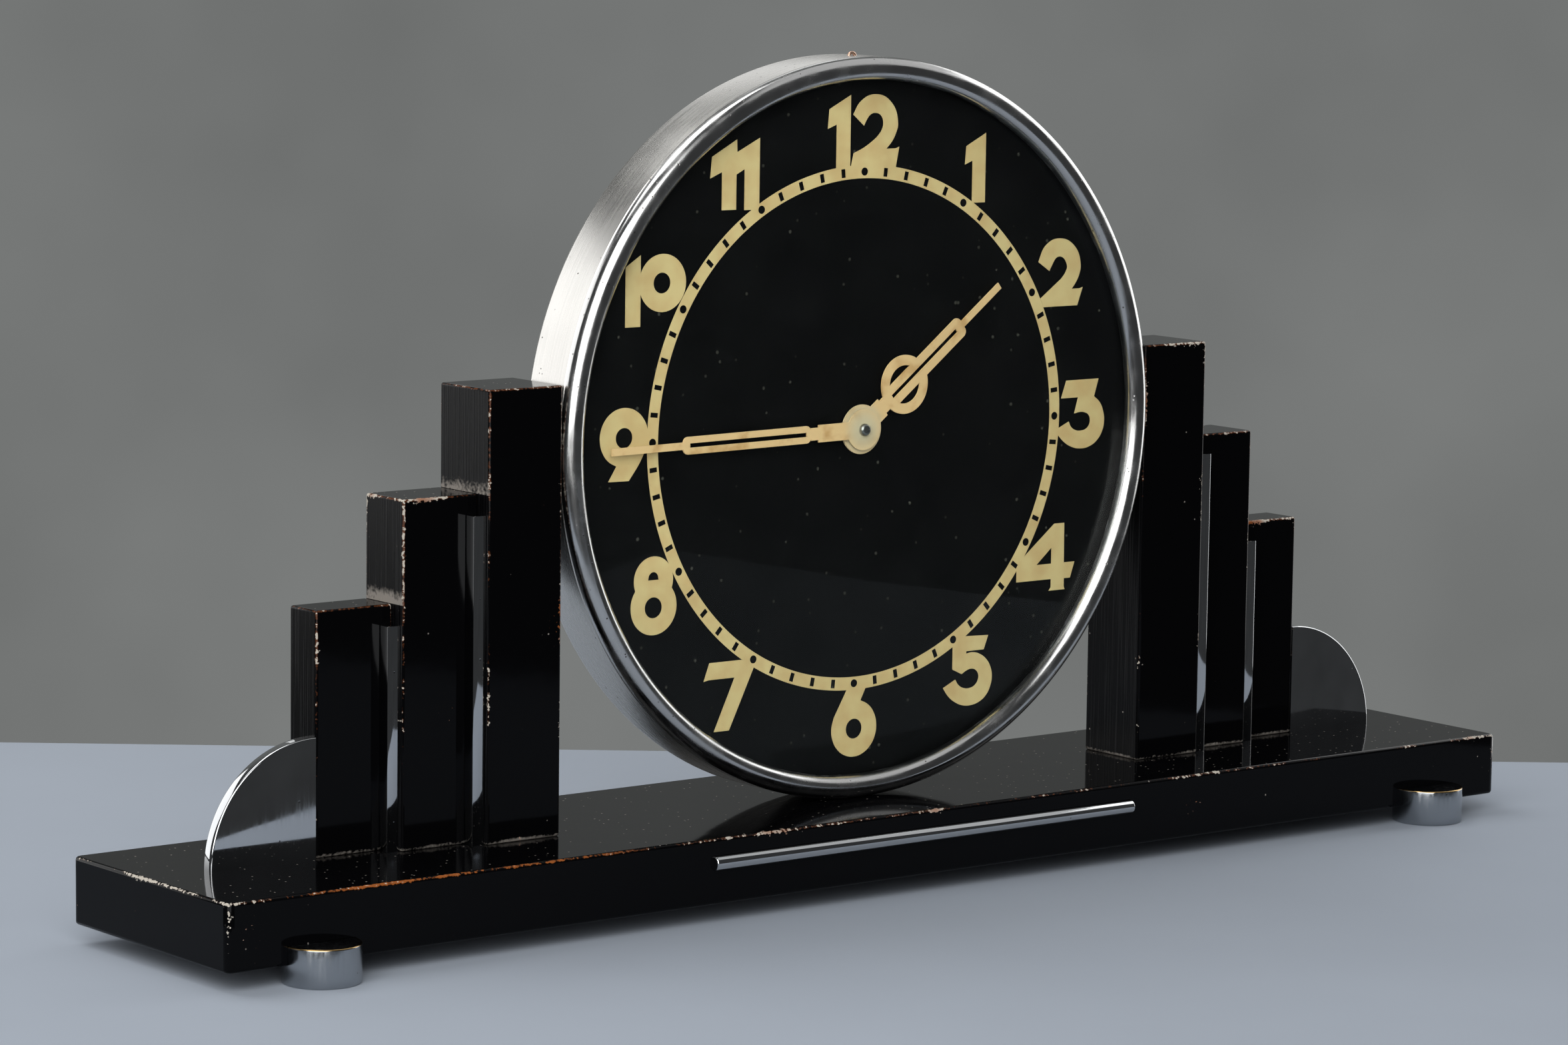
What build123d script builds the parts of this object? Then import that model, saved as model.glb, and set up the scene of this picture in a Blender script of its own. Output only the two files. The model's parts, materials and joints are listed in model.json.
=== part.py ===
from build123d import *
from math import cos, pi, radians, sin, sqrt
import os

os.makedirs("parts", exist_ok=True)

# Millimetres throughout: X to the right, -Y to the front, Z up, origin on the floor under the middle.

# Base board of lacquered wood
base_length = 391.0
base_depth = 66.0
base_thickness = 15.8
base_edge_radius = 1.2
base_corner_radius = 2.5

# Chrome feet, let into half-round notches in the front and rear edges of the base
foot_diameter = 18.0
foot_height = 9.0
foot_let_in = 4.5
foot_end_distance = 24.5
foot_edge = 0.6
foot_screw_inset = 4.4

# Wooden columns stepping down from the drum
column_gap = 180.0
column_width = 20.6
inner_column_depth = 20.0
inner_column_height = 105.8
column_step = 24.4
column_edge_radius = 0.8

# Square chrome strips in the corners between the columns
strip_size = 3.5
strip_setback = 1.0
strip_drop = 4.6
strip_let_in = 4.0

# Quarter-round chrome plates outside the outer columns
quarter_radius = 28.0
quarter_thickness = 3.2
quarter_let_in = 2.5

# Half-round chrome rod on the front face of the base
rod_width = 3.5
rod_length = 130.0
rod_offset = 2.8
rod_rise = 9.9
rod_pin_radius = 0.9
rod_pin_length = 6.0
rod_pin_inset = 10.0

# Wood screws, the drum bolt and its nut
column_screw_radius = 1.7
column_screw_length = 40.0
column_head_radius = 3.2
column_head_height = 2.0
column_head_sink = 2.6
foot_screw_radius = 1.2
foot_screw_length = 15.6
foot_head_radius = 2.2
foot_head_height = 1.4
foot_head_sink = 1.8
bolt_radius = 2.5
bolt_head_radius = 5.0
bolt_head_height = 3.0
bolt_head_sink = 4.0
bolt_y = -1.0
nut_across_corners = 9.0
nut_height = 3.2
nut_clearance = 0.15
bolt_overrun = 1.0

# Drum: a pressed case with a shallow band and an opening in its back
drum_diameter = 179.8
drum_depth = 15.0
drum_wall = 0.8
drum_setback = 1.4
drum_back_radius = 2.0
drum_opening_radius = 43.0

# Front bezel, glass and dial
bezel_width = 5.6
bezel_lip_rise = 0.9
bezel_lip = 0.6
bezel_spigot = 3.0
bezel_spigot_wall = 0.9
bezel_turned_edge = 0.5
glass_thickness = 1.0
glass_bite = 2.1
glass_sag = 8.0
dial_gap = 0.1
dial_thickness = 0.6
dial_radius = 87.5
dial_hole_radius = 3.4
dial_foot_distance = 42.0
dial_foot_radius = 1.6
dial_pin_radius = 1.0

# Wire staple in the top of the band
staple_wire_radius = 0.4
staple_half_width = 1.0
staple_rise = 1.0
staple_leg = 3.0
staple_y = -2.5

# Rear cover, its screws and the posts between drum and movement
cover_radius = 44.0
cover_wall = 0.6
cover_flange_radius = 51.5
cover_screw_distance = 47.6
cover_screw_angles = (90.0, 210.0, 330.0)
cover_screw_radius = 1.3
cover_head_radius = 2.4
cover_head_height = 1.3
post_radius = 2.6

# Clearances: fixed pieces in their holes, turning pieces in their bearings
fixed_fit = 0.05
running_fit = 0.05

# Movement plates, front face of the front plate behind the dial
motion_gap = 4.9
plate_thickness = 1.2
pillar_length = 16.0
front_plate_radius = 50.0
back_plate_radius = 39.0
pillar_distance = 35.5
pillar_radius = 2.0
pillar_spigot_radius = 1.2
plate_nut_radius = 2.2
plate_nut_height = 1.6
winding_gap = 4.6
pivot_radius = 0.4

# Tooth forms as shares of the pitch, addendum and dedendum as shares of the module
wheel_form = (0.10, 0.23, 0.95, 1.35)
pinion_form = (0.10, 0.17, 0.80, 1.40)

# Going train, tooth counts and modules
barrel_teeth = 72
centre_pinion_leaves = 10
barrel_module = 0.45
centre_teeth = 60
third_pinion_leaves = 8
centre_module = 0.4
third_teeth = 64
fourth_pinion_leaves = 8
third_module = 0.36
fourth_teeth = 60
escape_pinion_leaves = 6
fourth_module = 0.32
barrel_angle = 224.0
third_angle = 20.0
fourth_angle = 105.0
escape_angle = 175.0

# Escapement
escape_teeth = 15
escape_tip_radius = 5.5
escape_root_radius = 4.3
lever_distance = 7.0
balance_distance = 16.4
balance_radius = 8.2
balance_rim = 1.5
roller_radius = 1.5
pallet_clearance = 0.55

# Motion work
cannon_leaves = 12
minute_teeth = 36
cannon_module = 0.4
minute_leaves = 10
hour_teeth = 40
minute_angle = 300.0
arbor_radius = 0.9
arbor_tip_radius = 0.7
cannon_pipe_radius = 1.7
cannon_neck_radius = 1.35
hour_pipe_radius = 2.6
hour_neck_radius = 2.2

# Hands, drawn pointing to twelve; distances are from the centre
hand_thickness = 0.4
hour_hand_turn = 52.5
minute_hand_turn = 269.35
hour_hand_gap = 0.6
hand_spacing = 0.5
hour_boss_radius = 6.0
hour_stem = (5.0, 8.2)
hour_notch = (3.7, 12.0)
hour_ring_distance = 16.7
hour_ring_radius = 7.2
hour_ring_inner = 4.7
hour_bars = (5.3, 11.0, 39.4, 1.5)
hour_slot = (1.1, 12.0, 37.0)
hour_blade = (1.7, 54.1)
minute_boss_radius = 5.0
minute_stem = (4.2, 13.9)
minute_notch = (3.0, 16.3)
minute_bars = (4.2, 16.25, 54.5, 1.4)
minute_slot = (1.05, 17.5, 52.5)
minute_blade = (1.75, 75.3)
hand_pin_radius = 1.5
hand_pin_length = 1.2

# Winding work and hand-setting knob
ratchet_teeth = 24
ratchet_tip_radius = 6.5
ratchet_root_radius = 5.5
arbor_square = 2.0
key_hub_radius = 2.6
key_wing_half_width = 13.0
key_wing_height = 9.0
key_wing_thickness = 1.8
key_wing_start = 30.5
knob_radius = 6.0
knob_length = 6.0
knob_ridges = 24

# Levels worked out from the values above
base_bottom = foot_height - foot_let_in
base_top = base_bottom + base_thickness
base_front = -base_depth / 2
column_back = inner_column_depth / 2
depth_step = strip_size + strip_setback
drum_radius = drum_diameter / 2
drum_z = base_top + drum_radius
drum_front = -inner_column_depth / 2 + drum_setback
drum_back = drum_front + drum_depth
bezel_lip_radius = drum_radius - bezel_width
glass_front = drum_front - bezel_lip_rise + bezel_lip
glass_back = glass_front + glass_thickness
turned_edge_front = glass_back + fixed_fit
turned_edge_back = turned_edge_front + bezel_turned_edge
dial_front = turned_edge_back + dial_gap
dial_back = dial_front + dial_thickness
plate_front = dial_back + motion_gap
plate_back = plate_front + plate_thickness
rear_plate_front = plate_back + pillar_length
rear_plate_back = rear_plate_front + plate_thickness
cover_inside = rear_plate_back + winding_gap
cover_back = cover_inside + cover_wall
hour_hand_back = dial_front - hour_hand_gap
hour_hand_front = hour_hand_back - hand_thickness
minute_hand_back = hour_hand_front - hand_spacing
minute_hand_front = minute_hand_back - hand_thickness


def polar(distance, angle):
    """Point at a distance and an angle in degrees, as seen from the front."""
    return (distance * cos(radians(angle)), distance * sin(radians(angle)))


def shifted(point, distance, angle):
    """Point reached from another by a distance and an angle."""
    step = polar(distance, angle)
    return (point[0] + step[0], point[1] + step[1])


# Arbor positions seen from the front, measured from the drum centre
centre_at = (0.0, 0.0)
barrel_at = polar((barrel_teeth + centre_pinion_leaves) * barrel_module / 2, barrel_angle)
third_at = polar((centre_teeth + third_pinion_leaves) * centre_module / 2, third_angle)
fourth_at = shifted(third_at, (third_teeth + fourth_pinion_leaves) * third_module / 2, fourth_angle)
escape_at = shifted(fourth_at, (fourth_teeth + escape_pinion_leaves) * fourth_module / 2, escape_angle)
lever_at = (escape_at[0] - lever_distance, escape_at[1])
balance_at = (escape_at[0] - balance_distance, escape_at[1])
motion_distance = (cannon_leaves + minute_teeth) * cannon_module / 2
hour_module = 2 * motion_distance / (minute_leaves + hour_teeth)
minute_at = polar(motion_distance, minute_angle)

# Depths of the movement's levels
great_wheel = (plate_back + 3.0, plate_back + 1.6)
centre_pinion_level = (plate_back + 3.6, plate_back + 1.0)
third_wheel_level = (plate_back + 5.4, plate_back + 4.5)
fourth_pinion_level = (plate_back + 6.1, plate_back + 3.8)
lever_level = (plate_back + 6.8, plate_back + 5.7)
fourth_wheel_level = (plate_back + 9.2, plate_back + 8.4)
escape_pinion_level = (plate_back + 10.0, plate_back + 7.6)
balance_level = (plate_back + 11.5, plate_back + 10.1)
hairspring_level = (plate_back + 13.6, plate_back + 13.0)
centre_wheel_level = (plate_back + 14.8, plate_back + 13.8)
third_pinion_level = (plate_back + 15.4, plate_back + 13.0)
ratchet_level = (rear_plate_back + 1.8, rear_plate_back + 0.6)


def front_plane(depth, at=(0.0, 0.0), turn=0.0):
    """Sketch plane at a depth, facing the front, centred on an arbor of the drum."""
    across = (cos(radians(turn)), 0, sin(radians(turn)))
    return Plane(origin=(at[0], depth, drum_z + at[1]), x_dir=across, z_dir=(0, -1, 0))


def side_plane(at=(0.0, 0.0)):
    """Plane for turned profiles: local x is the radius, local y the depth."""
    return Plane(origin=(at[0], 0, drum_z + at[1]), x_dir=(1, 0, 0), z_dir=(0, 0, 1))


def spindle(at=(0.0, 0.0)):
    """Axis through an arbor, running front to back."""
    return Axis((at[0], 0, drum_z + at[1]), (0, 1, 0))


def save(piece, label):
    """Label a finished piece and write it out."""
    piece.part.label = label
    export_step(piece.part, f"parts/{label}.step")


def tooth_outline(teeth, module, form, turn):
    """Outline of a toothed wheel with one tooth pointing along an angle in degrees."""
    tip_share, root_share, addendum, dedendum = form
    tip = (teeth / 2 + addendum) * module
    root = (teeth / 2 - dedendum) * module
    corners = ((root, -root_share), (tip, -tip_share), (tip, tip_share), (root, root_share))
    points = []
    for tooth in range(teeth):
        for radius, share in corners:
            points.append(polar(radius, turn + (tooth + share) * 360 / teeth))
    return points


def wheel_teeth(teeth, module, turn):
    """Wheel outline with a tooth pointing at its pinion."""
    return tooth_outline(teeth, module, wheel_form, turn)


def pinion_teeth(leaves, module, turn):
    """Pinion outline with a gap facing its wheel."""
    return tooth_outline(leaves, module, pinion_form, turn + 180 / leaves)


def saw_outline(teeth, tip, root, lean):
    """Outline of a ratchet or escape wheel with leaning teeth."""
    points = []
    for tooth in range(teeth):
        start = tooth * 360 / teeth
        points.append(polar(root, start))
        points.append(polar(tip, start + lean * 360 / teeth))
        points.append(polar(tip, start + (lean + 0.12) * 360 / teeth))
    return points


def sector_outline(inner, outer, start, end, steps):
    """Outline of a curved slot between two radii and two angles."""
    angles = [start + (end - start) * step / steps for step in range(steps + 1)]
    outward = [polar(outer, angle) for angle in angles]
    inward = [polar(inner, angle) for angle in reversed(angles)]
    return outward + inward


def spiral_outline(inner, outer, thickness, turns, start):
    """Outline of a flat spiral strip."""
    steps = int(turns * 18)
    outward = []
    inward = []
    for step in range(steps + 1):
        angle = start + 360 * turns * step / steps
        radius = inner + (outer - inner) * step / steps
        outward.append(polar(radius + thickness / 2, angle))
        inward.append(polar(radius - thickness / 2, angle))
    return outward + inward[::-1]


def stack(at, layers, bore=None, windows=None):
    """Turned or toothed piece on one arbor.

    Each layer is a radius or an outline with its back and front depth. The bore is a
    radius with its back and front depth. The windows are an inner and outer radius,
    a count and the back and front depth of the wheel they pass through.
    """
    with BuildPart() as piece:
        for outline, back, front in layers:
            with BuildSketch(front_plane(back, at)):
                if isinstance(outline, float):
                    Circle(outline)
                else:
                    Polygon(*outline, align=None)
            extrude(amount=back - front)
        if windows:
            inner, outer, count, back, front = windows
            with BuildSketch(front_plane(back, at)):
                for window in range(count):
                    start = window * 360 / count
                    Polygon(*sector_outline(inner, outer, start + 12, start + 360 / count - 12, 3), align=None)
            extrude(amount=back - front, mode=Mode.SUBTRACT)
        if bore:
            radius, back, front = bore
            with BuildSketch(front_plane(back, at)):
                Circle(radius)
            extrude(amount=back - front, mode=Mode.SUBTRACT)
    return piece


# Places shared by pieces that meet
foot_x = base_length / 2 - foot_end_distance
foot_places = {
    "front_left_foot": (-foot_x, base_front),
    "front_right_foot": (foot_x, base_front),
    "rear_left_foot": (-foot_x, -base_front),
    "rear_right_foot": (foot_x, -base_front),
}
foot_screw_places = [(x, y - foot_screw_inset if y > 0 else y + foot_screw_inset) for x, y in foot_places.values()]
column_rows = ("inner", "middle", "outer")
sides = (("left", -1), ("right", 1))


def column_size(row):
    """Near side, depth and height of a column, counted outward from the drum."""
    near = column_gap / 2 + row * column_width
    return near, inner_column_depth - row * depth_step, inner_column_height - row * column_step


def column_middle(sign, row):
    """Middle of a column on the base."""
    near, depth, height = column_size(row)
    return (sign * (near + column_width / 2), column_back - depth / 2)


def strip_middle(sign, row):
    """Middle of the strip in front of a middle or outer column."""
    near, depth, height = column_size(row)
    return (sign * (near + strip_size / 2), column_back - depth - strip_size / 2)


column_screw_places = [column_middle(sign, row) for side, sign in sides for row in range(3)]
strip_places = [strip_middle(sign, row) for side, sign in sides for row in (1, 2)]
outer_face = column_gap / 2 + 3 * column_width
quarter_front = column_back - column_size(2)[1]
quarter_y = quarter_front + quarter_thickness / 2
rod_z = base_bottom + rod_rise
rod_pin_x = [rod_offset - rod_length / 2 + rod_pin_inset, rod_offset + rod_length / 2 - rod_pin_inset]

# Base board with its notches, mortises and screw holes
with BuildPart() as base_board:
    with BuildSketch(Plane.XY.offset(base_bottom)):
        RectangleRounded(base_length, base_depth, base_corner_radius)
    extrude(amount=base_thickness)
    fillet(base_board.faces().sort_by(Axis.Z)[-1].edges(), base_edge_radius)
    with BuildSketch(Plane.XY.offset(base_bottom)):
        with Locations(*foot_places.values()):
            Circle(foot_diameter / 2 + fixed_fit)
    extrude(amount=foot_let_in, mode=Mode.SUBTRACT)
    with BuildSketch(Plane.XY.offset(base_bottom)):
        with Locations(*foot_screw_places):
            Circle(foot_screw_radius + fixed_fit)
    extrude(amount=foot_head_sink + foot_screw_length + fixed_fit - base_bottom, mode=Mode.SUBTRACT)
    with BuildSketch(Plane.XY.offset(base_bottom)):
        with Locations(*column_screw_places):
            Circle(column_head_radius + fixed_fit)
    extrude(amount=column_head_sink, mode=Mode.SUBTRACT)
    with BuildSketch(Plane.XY.offset(base_bottom)):
        with Locations(*column_screw_places):
            Circle(column_screw_radius + fixed_fit)
    extrude(amount=base_thickness, mode=Mode.SUBTRACT)
    with BuildSketch(Plane.XY.offset(base_bottom)):
        with Locations((0, bolt_y)):
            Circle(bolt_head_radius + fixed_fit)
    extrude(amount=bolt_head_sink, mode=Mode.SUBTRACT)
    with BuildSketch(Plane.XY.offset(base_bottom)):
        with Locations((0, bolt_y)):
            Circle(bolt_radius + fixed_fit)
    extrude(amount=base_thickness, mode=Mode.SUBTRACT)
    with BuildSketch(Plane.XY.offset(base_top)):
        with Locations(*strip_places):
            Rectangle(strip_size + 2 * fixed_fit, strip_size + 2 * fixed_fit)
    extrude(amount=-strip_let_in, mode=Mode.SUBTRACT)
    with BuildSketch(Plane.XY.offset(base_top)):
        for side, sign in sides:
            with Locations((sign * (outer_face + quarter_radius / 2), quarter_y)):
                Rectangle(quarter_radius + 2 * fixed_fit, quarter_thickness + 2 * fixed_fit)
    extrude(amount=-quarter_let_in, mode=Mode.SUBTRACT)
    with BuildSketch(Plane(origin=(0, base_front, rod_z), x_dir=(1, 0, 0), z_dir=(0, -1, 0))):
        with Locations(*[(x, 0) for x in rod_pin_x]):
            Circle(rod_pin_radius + fixed_fit)
    extrude(amount=-rod_pin_length - fixed_fit, mode=Mode.SUBTRACT)
save(base_board, "base_board")

# Feet
for label, place in foot_places.items():
    with BuildPart() as foot:
        with BuildSketch(Plane.XY):
            with Locations(place):
                Circle(foot_diameter / 2)
        extrude(amount=foot_height)
        chamfer(foot.faces().sort_by(Axis.Z)[-1].edges(), foot_edge)
        inset = (place[0], place[1] - foot_screw_inset if place[1] > 0 else place[1] + foot_screw_inset)
        with BuildSketch(Plane.XY):
            with Locations(inset):
                Circle(foot_screw_radius + fixed_fit)
        extrude(amount=foot_height, mode=Mode.SUBTRACT)
        with BuildSketch(Plane.XY):
            with Locations(inset):
                Circle(foot_head_radius + fixed_fit)
        extrude(amount=foot_head_sink, mode=Mode.SUBTRACT)
    save(foot, label)

# Columns, bored from below for their screws
for side, sign in sides:
    for row, name in enumerate(column_rows):
        near, depth, height = column_size(row)
        with BuildPart() as column:
            with BuildSketch(Plane.XY.offset(base_top)):
                with Locations(column_middle(sign, row)):
                    Rectangle(column_width, depth)
            extrude(amount=height)
            upright = column.edges().filter_by(Axis.Z)
            rim = column.faces().sort_by(Axis.Z)[-1].edges()
            fillet(upright + rim, column_edge_radius)
            with BuildSketch(Plane.XY.offset(base_top)):
                with Locations(column_middle(sign, row)):
                    Circle(column_screw_radius + fixed_fit)
            extrude(amount=column_screw_length, mode=Mode.SUBTRACT)
        save(column, f"{name}_column_{side}")

# Strips, let into the base
for side, sign in sides:
    for row, name in ((1, "inner"), (2, "outer")):
        top = base_top + column_size(row)[2] - strip_drop
        with BuildPart() as strip:
            with BuildSketch(Plane.XY.offset(base_top - strip_let_in)):
                with Locations(strip_middle(sign, row)):
                    Rectangle(strip_size, strip_size)
            extrude(amount=top - base_top + strip_let_in)
        save(strip, f"{name}_strip_{side}")

# Quarter-round plates with a tongue in the base
for side, sign in sides:
    with BuildPart() as quarter_disc:
        with BuildSketch(Plane(origin=(sign * outer_face, quarter_front, base_top), x_dir=(1, 0, 0), z_dir=(0, -1, 0))):
            Circle(quarter_radius)
            with Locations((sign * quarter_radius / 2, quarter_radius / 2)):
                Rectangle(quarter_radius, quarter_radius, mode=Mode.INTERSECT)
            with Locations((sign * quarter_radius / 2, -quarter_let_in / 2)):
                Rectangle(quarter_radius, quarter_let_in)
        extrude(amount=-quarter_thickness)
    save(quarter_disc, f"quarter_disc_{side}")

# Half-round rod with two pins
with BuildPart() as front_rod:
    with BuildSketch(Plane(origin=(rod_offset - rod_length / 2, base_front, rod_z), x_dir=(0, 1, 0), z_dir=(1, 0, 0))):
        Circle(rod_width / 2)
        with Locations((rod_width / 2, 0)):
            Rectangle(rod_width, rod_width, mode=Mode.SUBTRACT)
    extrude(amount=rod_length)
    with BuildSketch(Plane(origin=(0, base_front, rod_z), x_dir=(1, 0, 0), z_dir=(0, -1, 0))):
        with Locations(*[(x, 0) for x in rod_pin_x]):
            Circle(rod_pin_radius)
    extrude(amount=-rod_pin_length)
save(front_rod, "front_rod")

# Screws under the base, seated in their counterbores
with BuildPart() as column_screws:
    seat = base_bottom + column_head_sink
    with BuildSketch(Plane.XY.offset(seat - column_head_height)):
        with Locations(*column_screw_places):
            Circle(column_head_radius)
    extrude(amount=column_head_height)
    with BuildSketch(Plane.XY.offset(seat)):
        with Locations(*column_screw_places):
            Circle(column_screw_radius)
    extrude(amount=column_screw_length)
save(column_screws, "column_screws")

with BuildPart() as foot_screws:
    with BuildSketch(Plane.XY.offset(foot_head_sink - foot_head_height)):
        with Locations(*foot_screw_places):
            Circle(foot_head_radius)
    extrude(amount=foot_head_height)
    with BuildSketch(Plane.XY.offset(foot_head_sink)):
        with Locations(*foot_screw_places):
            Circle(foot_screw_radius)
    extrude(amount=foot_screw_length)
save(foot_screws, "foot_screws")

nut_bottom = base_top + drum_wall + nut_clearance
with BuildPart() as drum_bolt:
    with BuildSketch(Plane.XY.offset(base_bottom + bolt_head_sink - bolt_head_height)):
        with Locations((0, bolt_y)):
            Circle(bolt_head_radius)
    extrude(amount=bolt_head_height)
    with BuildSketch(Plane.XY.offset(base_bottom + bolt_head_sink)):
        with Locations((0, bolt_y)):
            Circle(bolt_radius)
    extrude(amount=nut_bottom + nut_height + bolt_overrun - base_bottom - bolt_head_sink)
save(drum_bolt, "drum_bolt")

with BuildPart() as drum_nut:
    with BuildSketch(Plane.XY.offset(nut_bottom)):
        with Locations((0, bolt_y)):
            RegularPolygon(nut_across_corners / 2, 6)
            Circle(bolt_radius + fixed_fit, mode=Mode.SUBTRACT)
    extrude(amount=nut_height)
save(drum_nut, "drum_nut")

# Drum case
cover_screw_places = [polar(cover_screw_distance, angle) for angle in cover_screw_angles]
with BuildPart() as drum_case:
    with BuildSketch(side_plane()):
        with BuildLine():
            bend = drum_radius - drum_back_radius
            inner_bend = drum_back_radius - drum_wall
            slant = sqrt(0.5)
            Polyline((drum_radius - drum_wall, drum_back - drum_back_radius),
                     (drum_radius - drum_wall, drum_front),
                     (drum_radius, drum_front),
                     (drum_radius, drum_back - drum_back_radius))
            ThreePointArc((drum_radius, drum_back - drum_back_radius),
                          (bend + drum_back_radius * slant, drum_back - drum_back_radius * (1 - slant)),
                          (bend, drum_back))
            Polyline((bend, drum_back),
                     (drum_opening_radius, drum_back),
                     (drum_opening_radius, drum_back - drum_wall),
                     (bend, drum_back - drum_wall))
            ThreePointArc((bend, drum_back - drum_wall),
                          (bend + inner_bend * slant, drum_back - drum_back_radius + inner_bend * slant),
                          (drum_radius - drum_wall, drum_back - drum_back_radius))
        make_face()
    revolve(axis=spindle())
    with BuildSketch(front_plane(drum_back)):
        with Locations(*cover_screw_places):
            Circle(cover_screw_radius + fixed_fit)
    extrude(amount=drum_wall, mode=Mode.SUBTRACT)
    with BuildSketch(Plane.XY.offset(base_top)):
        with Locations((0, bolt_y)):
            Circle(bolt_radius + fixed_fit)
    extrude(amount=3 * drum_wall, mode=Mode.SUBTRACT)
    with BuildSketch(Plane.XY.offset(drum_z + drum_radius)):
        with Locations((-staple_half_width, staple_y), (staple_half_width, staple_y)):
            Circle(staple_wire_radius + fixed_fit)
    extrude(amount=-3 * drum_wall, mode=Mode.SUBTRACT)
save(drum_case, "drum_case")

# Front bezel: a half-round bead with a rebate for the glass and a spigot inside the band
with BuildPart() as front_bezel:
    spigot_radius = drum_radius - drum_wall - fixed_fit
    with BuildSketch(side_plane()):
        with BuildLine():
            Line((drum_radius, drum_front), (drum_radius, drum_front - bezel_lip_rise))
            ThreePointArc((drum_radius, drum_front - bezel_lip_rise),
                          (drum_radius - bezel_width / 2, drum_front - bezel_lip_rise - bezel_width / 2),
                          (bezel_lip_radius, drum_front - bezel_lip_rise))
            Polyline((bezel_lip_radius, drum_front - bezel_lip_rise),
                     (bezel_lip_radius, glass_front),
                     (bezel_lip_radius + glass_bite + fixed_fit, glass_front),
                     (bezel_lip_radius + glass_bite + fixed_fit, turned_edge_front),
                     (bezel_lip_radius + glass_bite / 2, turned_edge_front),
                     (bezel_lip_radius + glass_bite / 2, turned_edge_back),
                     (spigot_radius - bezel_spigot_wall, turned_edge_back),
                     (spigot_radius - bezel_spigot_wall, drum_front + bezel_spigot),
                     (spigot_radius, drum_front + bezel_spigot),
                     (spigot_radius, drum_front),
                     (drum_radius, drum_front))
        make_face()
    revolve(axis=spindle())
save(front_bezel, "front_bezel")

# Convex glass with a flat rim
with BuildPart() as glass:
    rim_radius = bezel_lip_radius + glass_bite
    dome_radius = bezel_lip_radius - 6 * fixed_fit
    sphere = (dome_radius ** 2 + glass_sag ** 2) / (2 * glass_sag)
    half = dome_radius / 2
    half_rise = glass_sag - (sphere - sqrt(sphere ** 2 - half ** 2))
    with BuildSketch(side_plane()):
        with BuildLine():
            ThreePointArc((0, glass_front - glass_sag), (half, glass_front - half_rise), (dome_radius, glass_front))
            Polyline((dome_radius, glass_front), (rim_radius, glass_front), (rim_radius, glass_back),
                     (dome_radius, glass_back))
            ThreePointArc((dome_radius, glass_back), (half, glass_back - half_rise), (0, glass_back - glass_sag))
            Line((0, glass_back - glass_sag), (0, glass_front - glass_sag))
        make_face()
    revolve(axis=spindle())
save(glass, "glass")

# Dial with two feet on the front plate
dial_feet = [(-dial_foot_distance, 0), (dial_foot_distance, 0)]
with BuildPart() as dial:
    with BuildSketch(front_plane(dial_back)):
        Circle(dial_radius)
        Circle(dial_hole_radius, mode=Mode.SUBTRACT)
    extrude(amount=dial_thickness)
    with BuildSketch(front_plane(plate_front)):
        with Locations(*dial_feet):
            Circle(dial_foot_radius)
    extrude(amount=motion_gap)
    with BuildSketch(front_plane(plate_back)):
        with Locations(*dial_feet):
            Circle(dial_pin_radius)
    extrude(amount=plate_thickness)
save(dial, "dial")

# Wire staple in the top of the band
with BuildPart() as top_staple:
    staple_foot = drum_z + drum_radius - staple_leg
    staple_shoulder = drum_z + drum_radius + staple_rise - staple_half_width - staple_wire_radius
    with BuildLine() as wire:
        Line((-staple_half_width, staple_y, staple_foot), (-staple_half_width, staple_y, staple_shoulder))
        ThreePointArc((-staple_half_width, staple_y, staple_shoulder),
                      (0, staple_y, staple_shoulder + staple_half_width),
                      (staple_half_width, staple_y, staple_shoulder))
        Line((staple_half_width, staple_y, staple_shoulder), (staple_half_width, staple_y, staple_foot))
    with BuildSketch(Plane(origin=(-staple_half_width, staple_y, staple_foot), z_dir=(0, 0, 1))):
        Circle(staple_wire_radius)
    sweep(path=wire.line)
save(top_staple, "top_staple")

# Rear cover: a cup with a flange, with openings for the key, the knob and the regulator
regulator_reach = 10.0
regulator_pin_radius = 0.7
regulator_angle = 100.0
regulator_swing = 15.0
with BuildPart() as rear_cover:
    with BuildSketch(side_plane()):
        with BuildLine():
            Polyline((cover_radius - cover_wall, drum_back),
                     (cover_flange_radius, drum_back),
                     (cover_flange_radius, drum_back + cover_wall),
                     (cover_radius, drum_back + cover_wall),
                     (cover_radius, cover_back - 2 * cover_wall),
                     (cover_radius - 2 * cover_wall, cover_back),
                     (0, cover_back),
                     (0, cover_inside),
                     (cover_radius - 2 * cover_wall, cover_inside),
                     (cover_radius - cover_wall, cover_inside - cover_wall),
                     close=True)
        make_face()
    revolve(axis=spindle())
    with BuildSketch(front_plane(drum_back + cover_wall)):
        with Locations(*cover_screw_places):
            Circle(cover_screw_radius + fixed_fit)
    extrude(amount=cover_wall, mode=Mode.SUBTRACT)
    with BuildSketch(front_plane(cover_back)):
        with Locations(barrel_at):
            Circle(key_hub_radius + 0.6)
        Circle(arbor_radius + 0.4)
        with Locations(balance_at):
            Polygon(*sector_outline(regulator_reach - 1.2, regulator_reach + 1.2,
                                    regulator_angle - regulator_swing - 10,
                                    regulator_angle + regulator_swing + 10, 8), align=None)
    extrude(amount=cover_wall, mode=Mode.SUBTRACT)
save(rear_cover, "rear_cover")

# Screws through cover, drum and posts into the front plate
with BuildPart() as cover_screws:
    with BuildSketch(front_plane(drum_back + cover_wall + cover_head_height)):
        with Locations(*cover_screw_places):
            Circle(cover_head_radius)
    extrude(amount=cover_head_height)
    with BuildSketch(front_plane(drum_back + cover_wall)):
        with Locations(*cover_screw_places):
            Circle(cover_screw_radius)
    extrude(amount=drum_back + cover_wall - plate_front)
save(cover_screws, "cover_screws")

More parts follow.
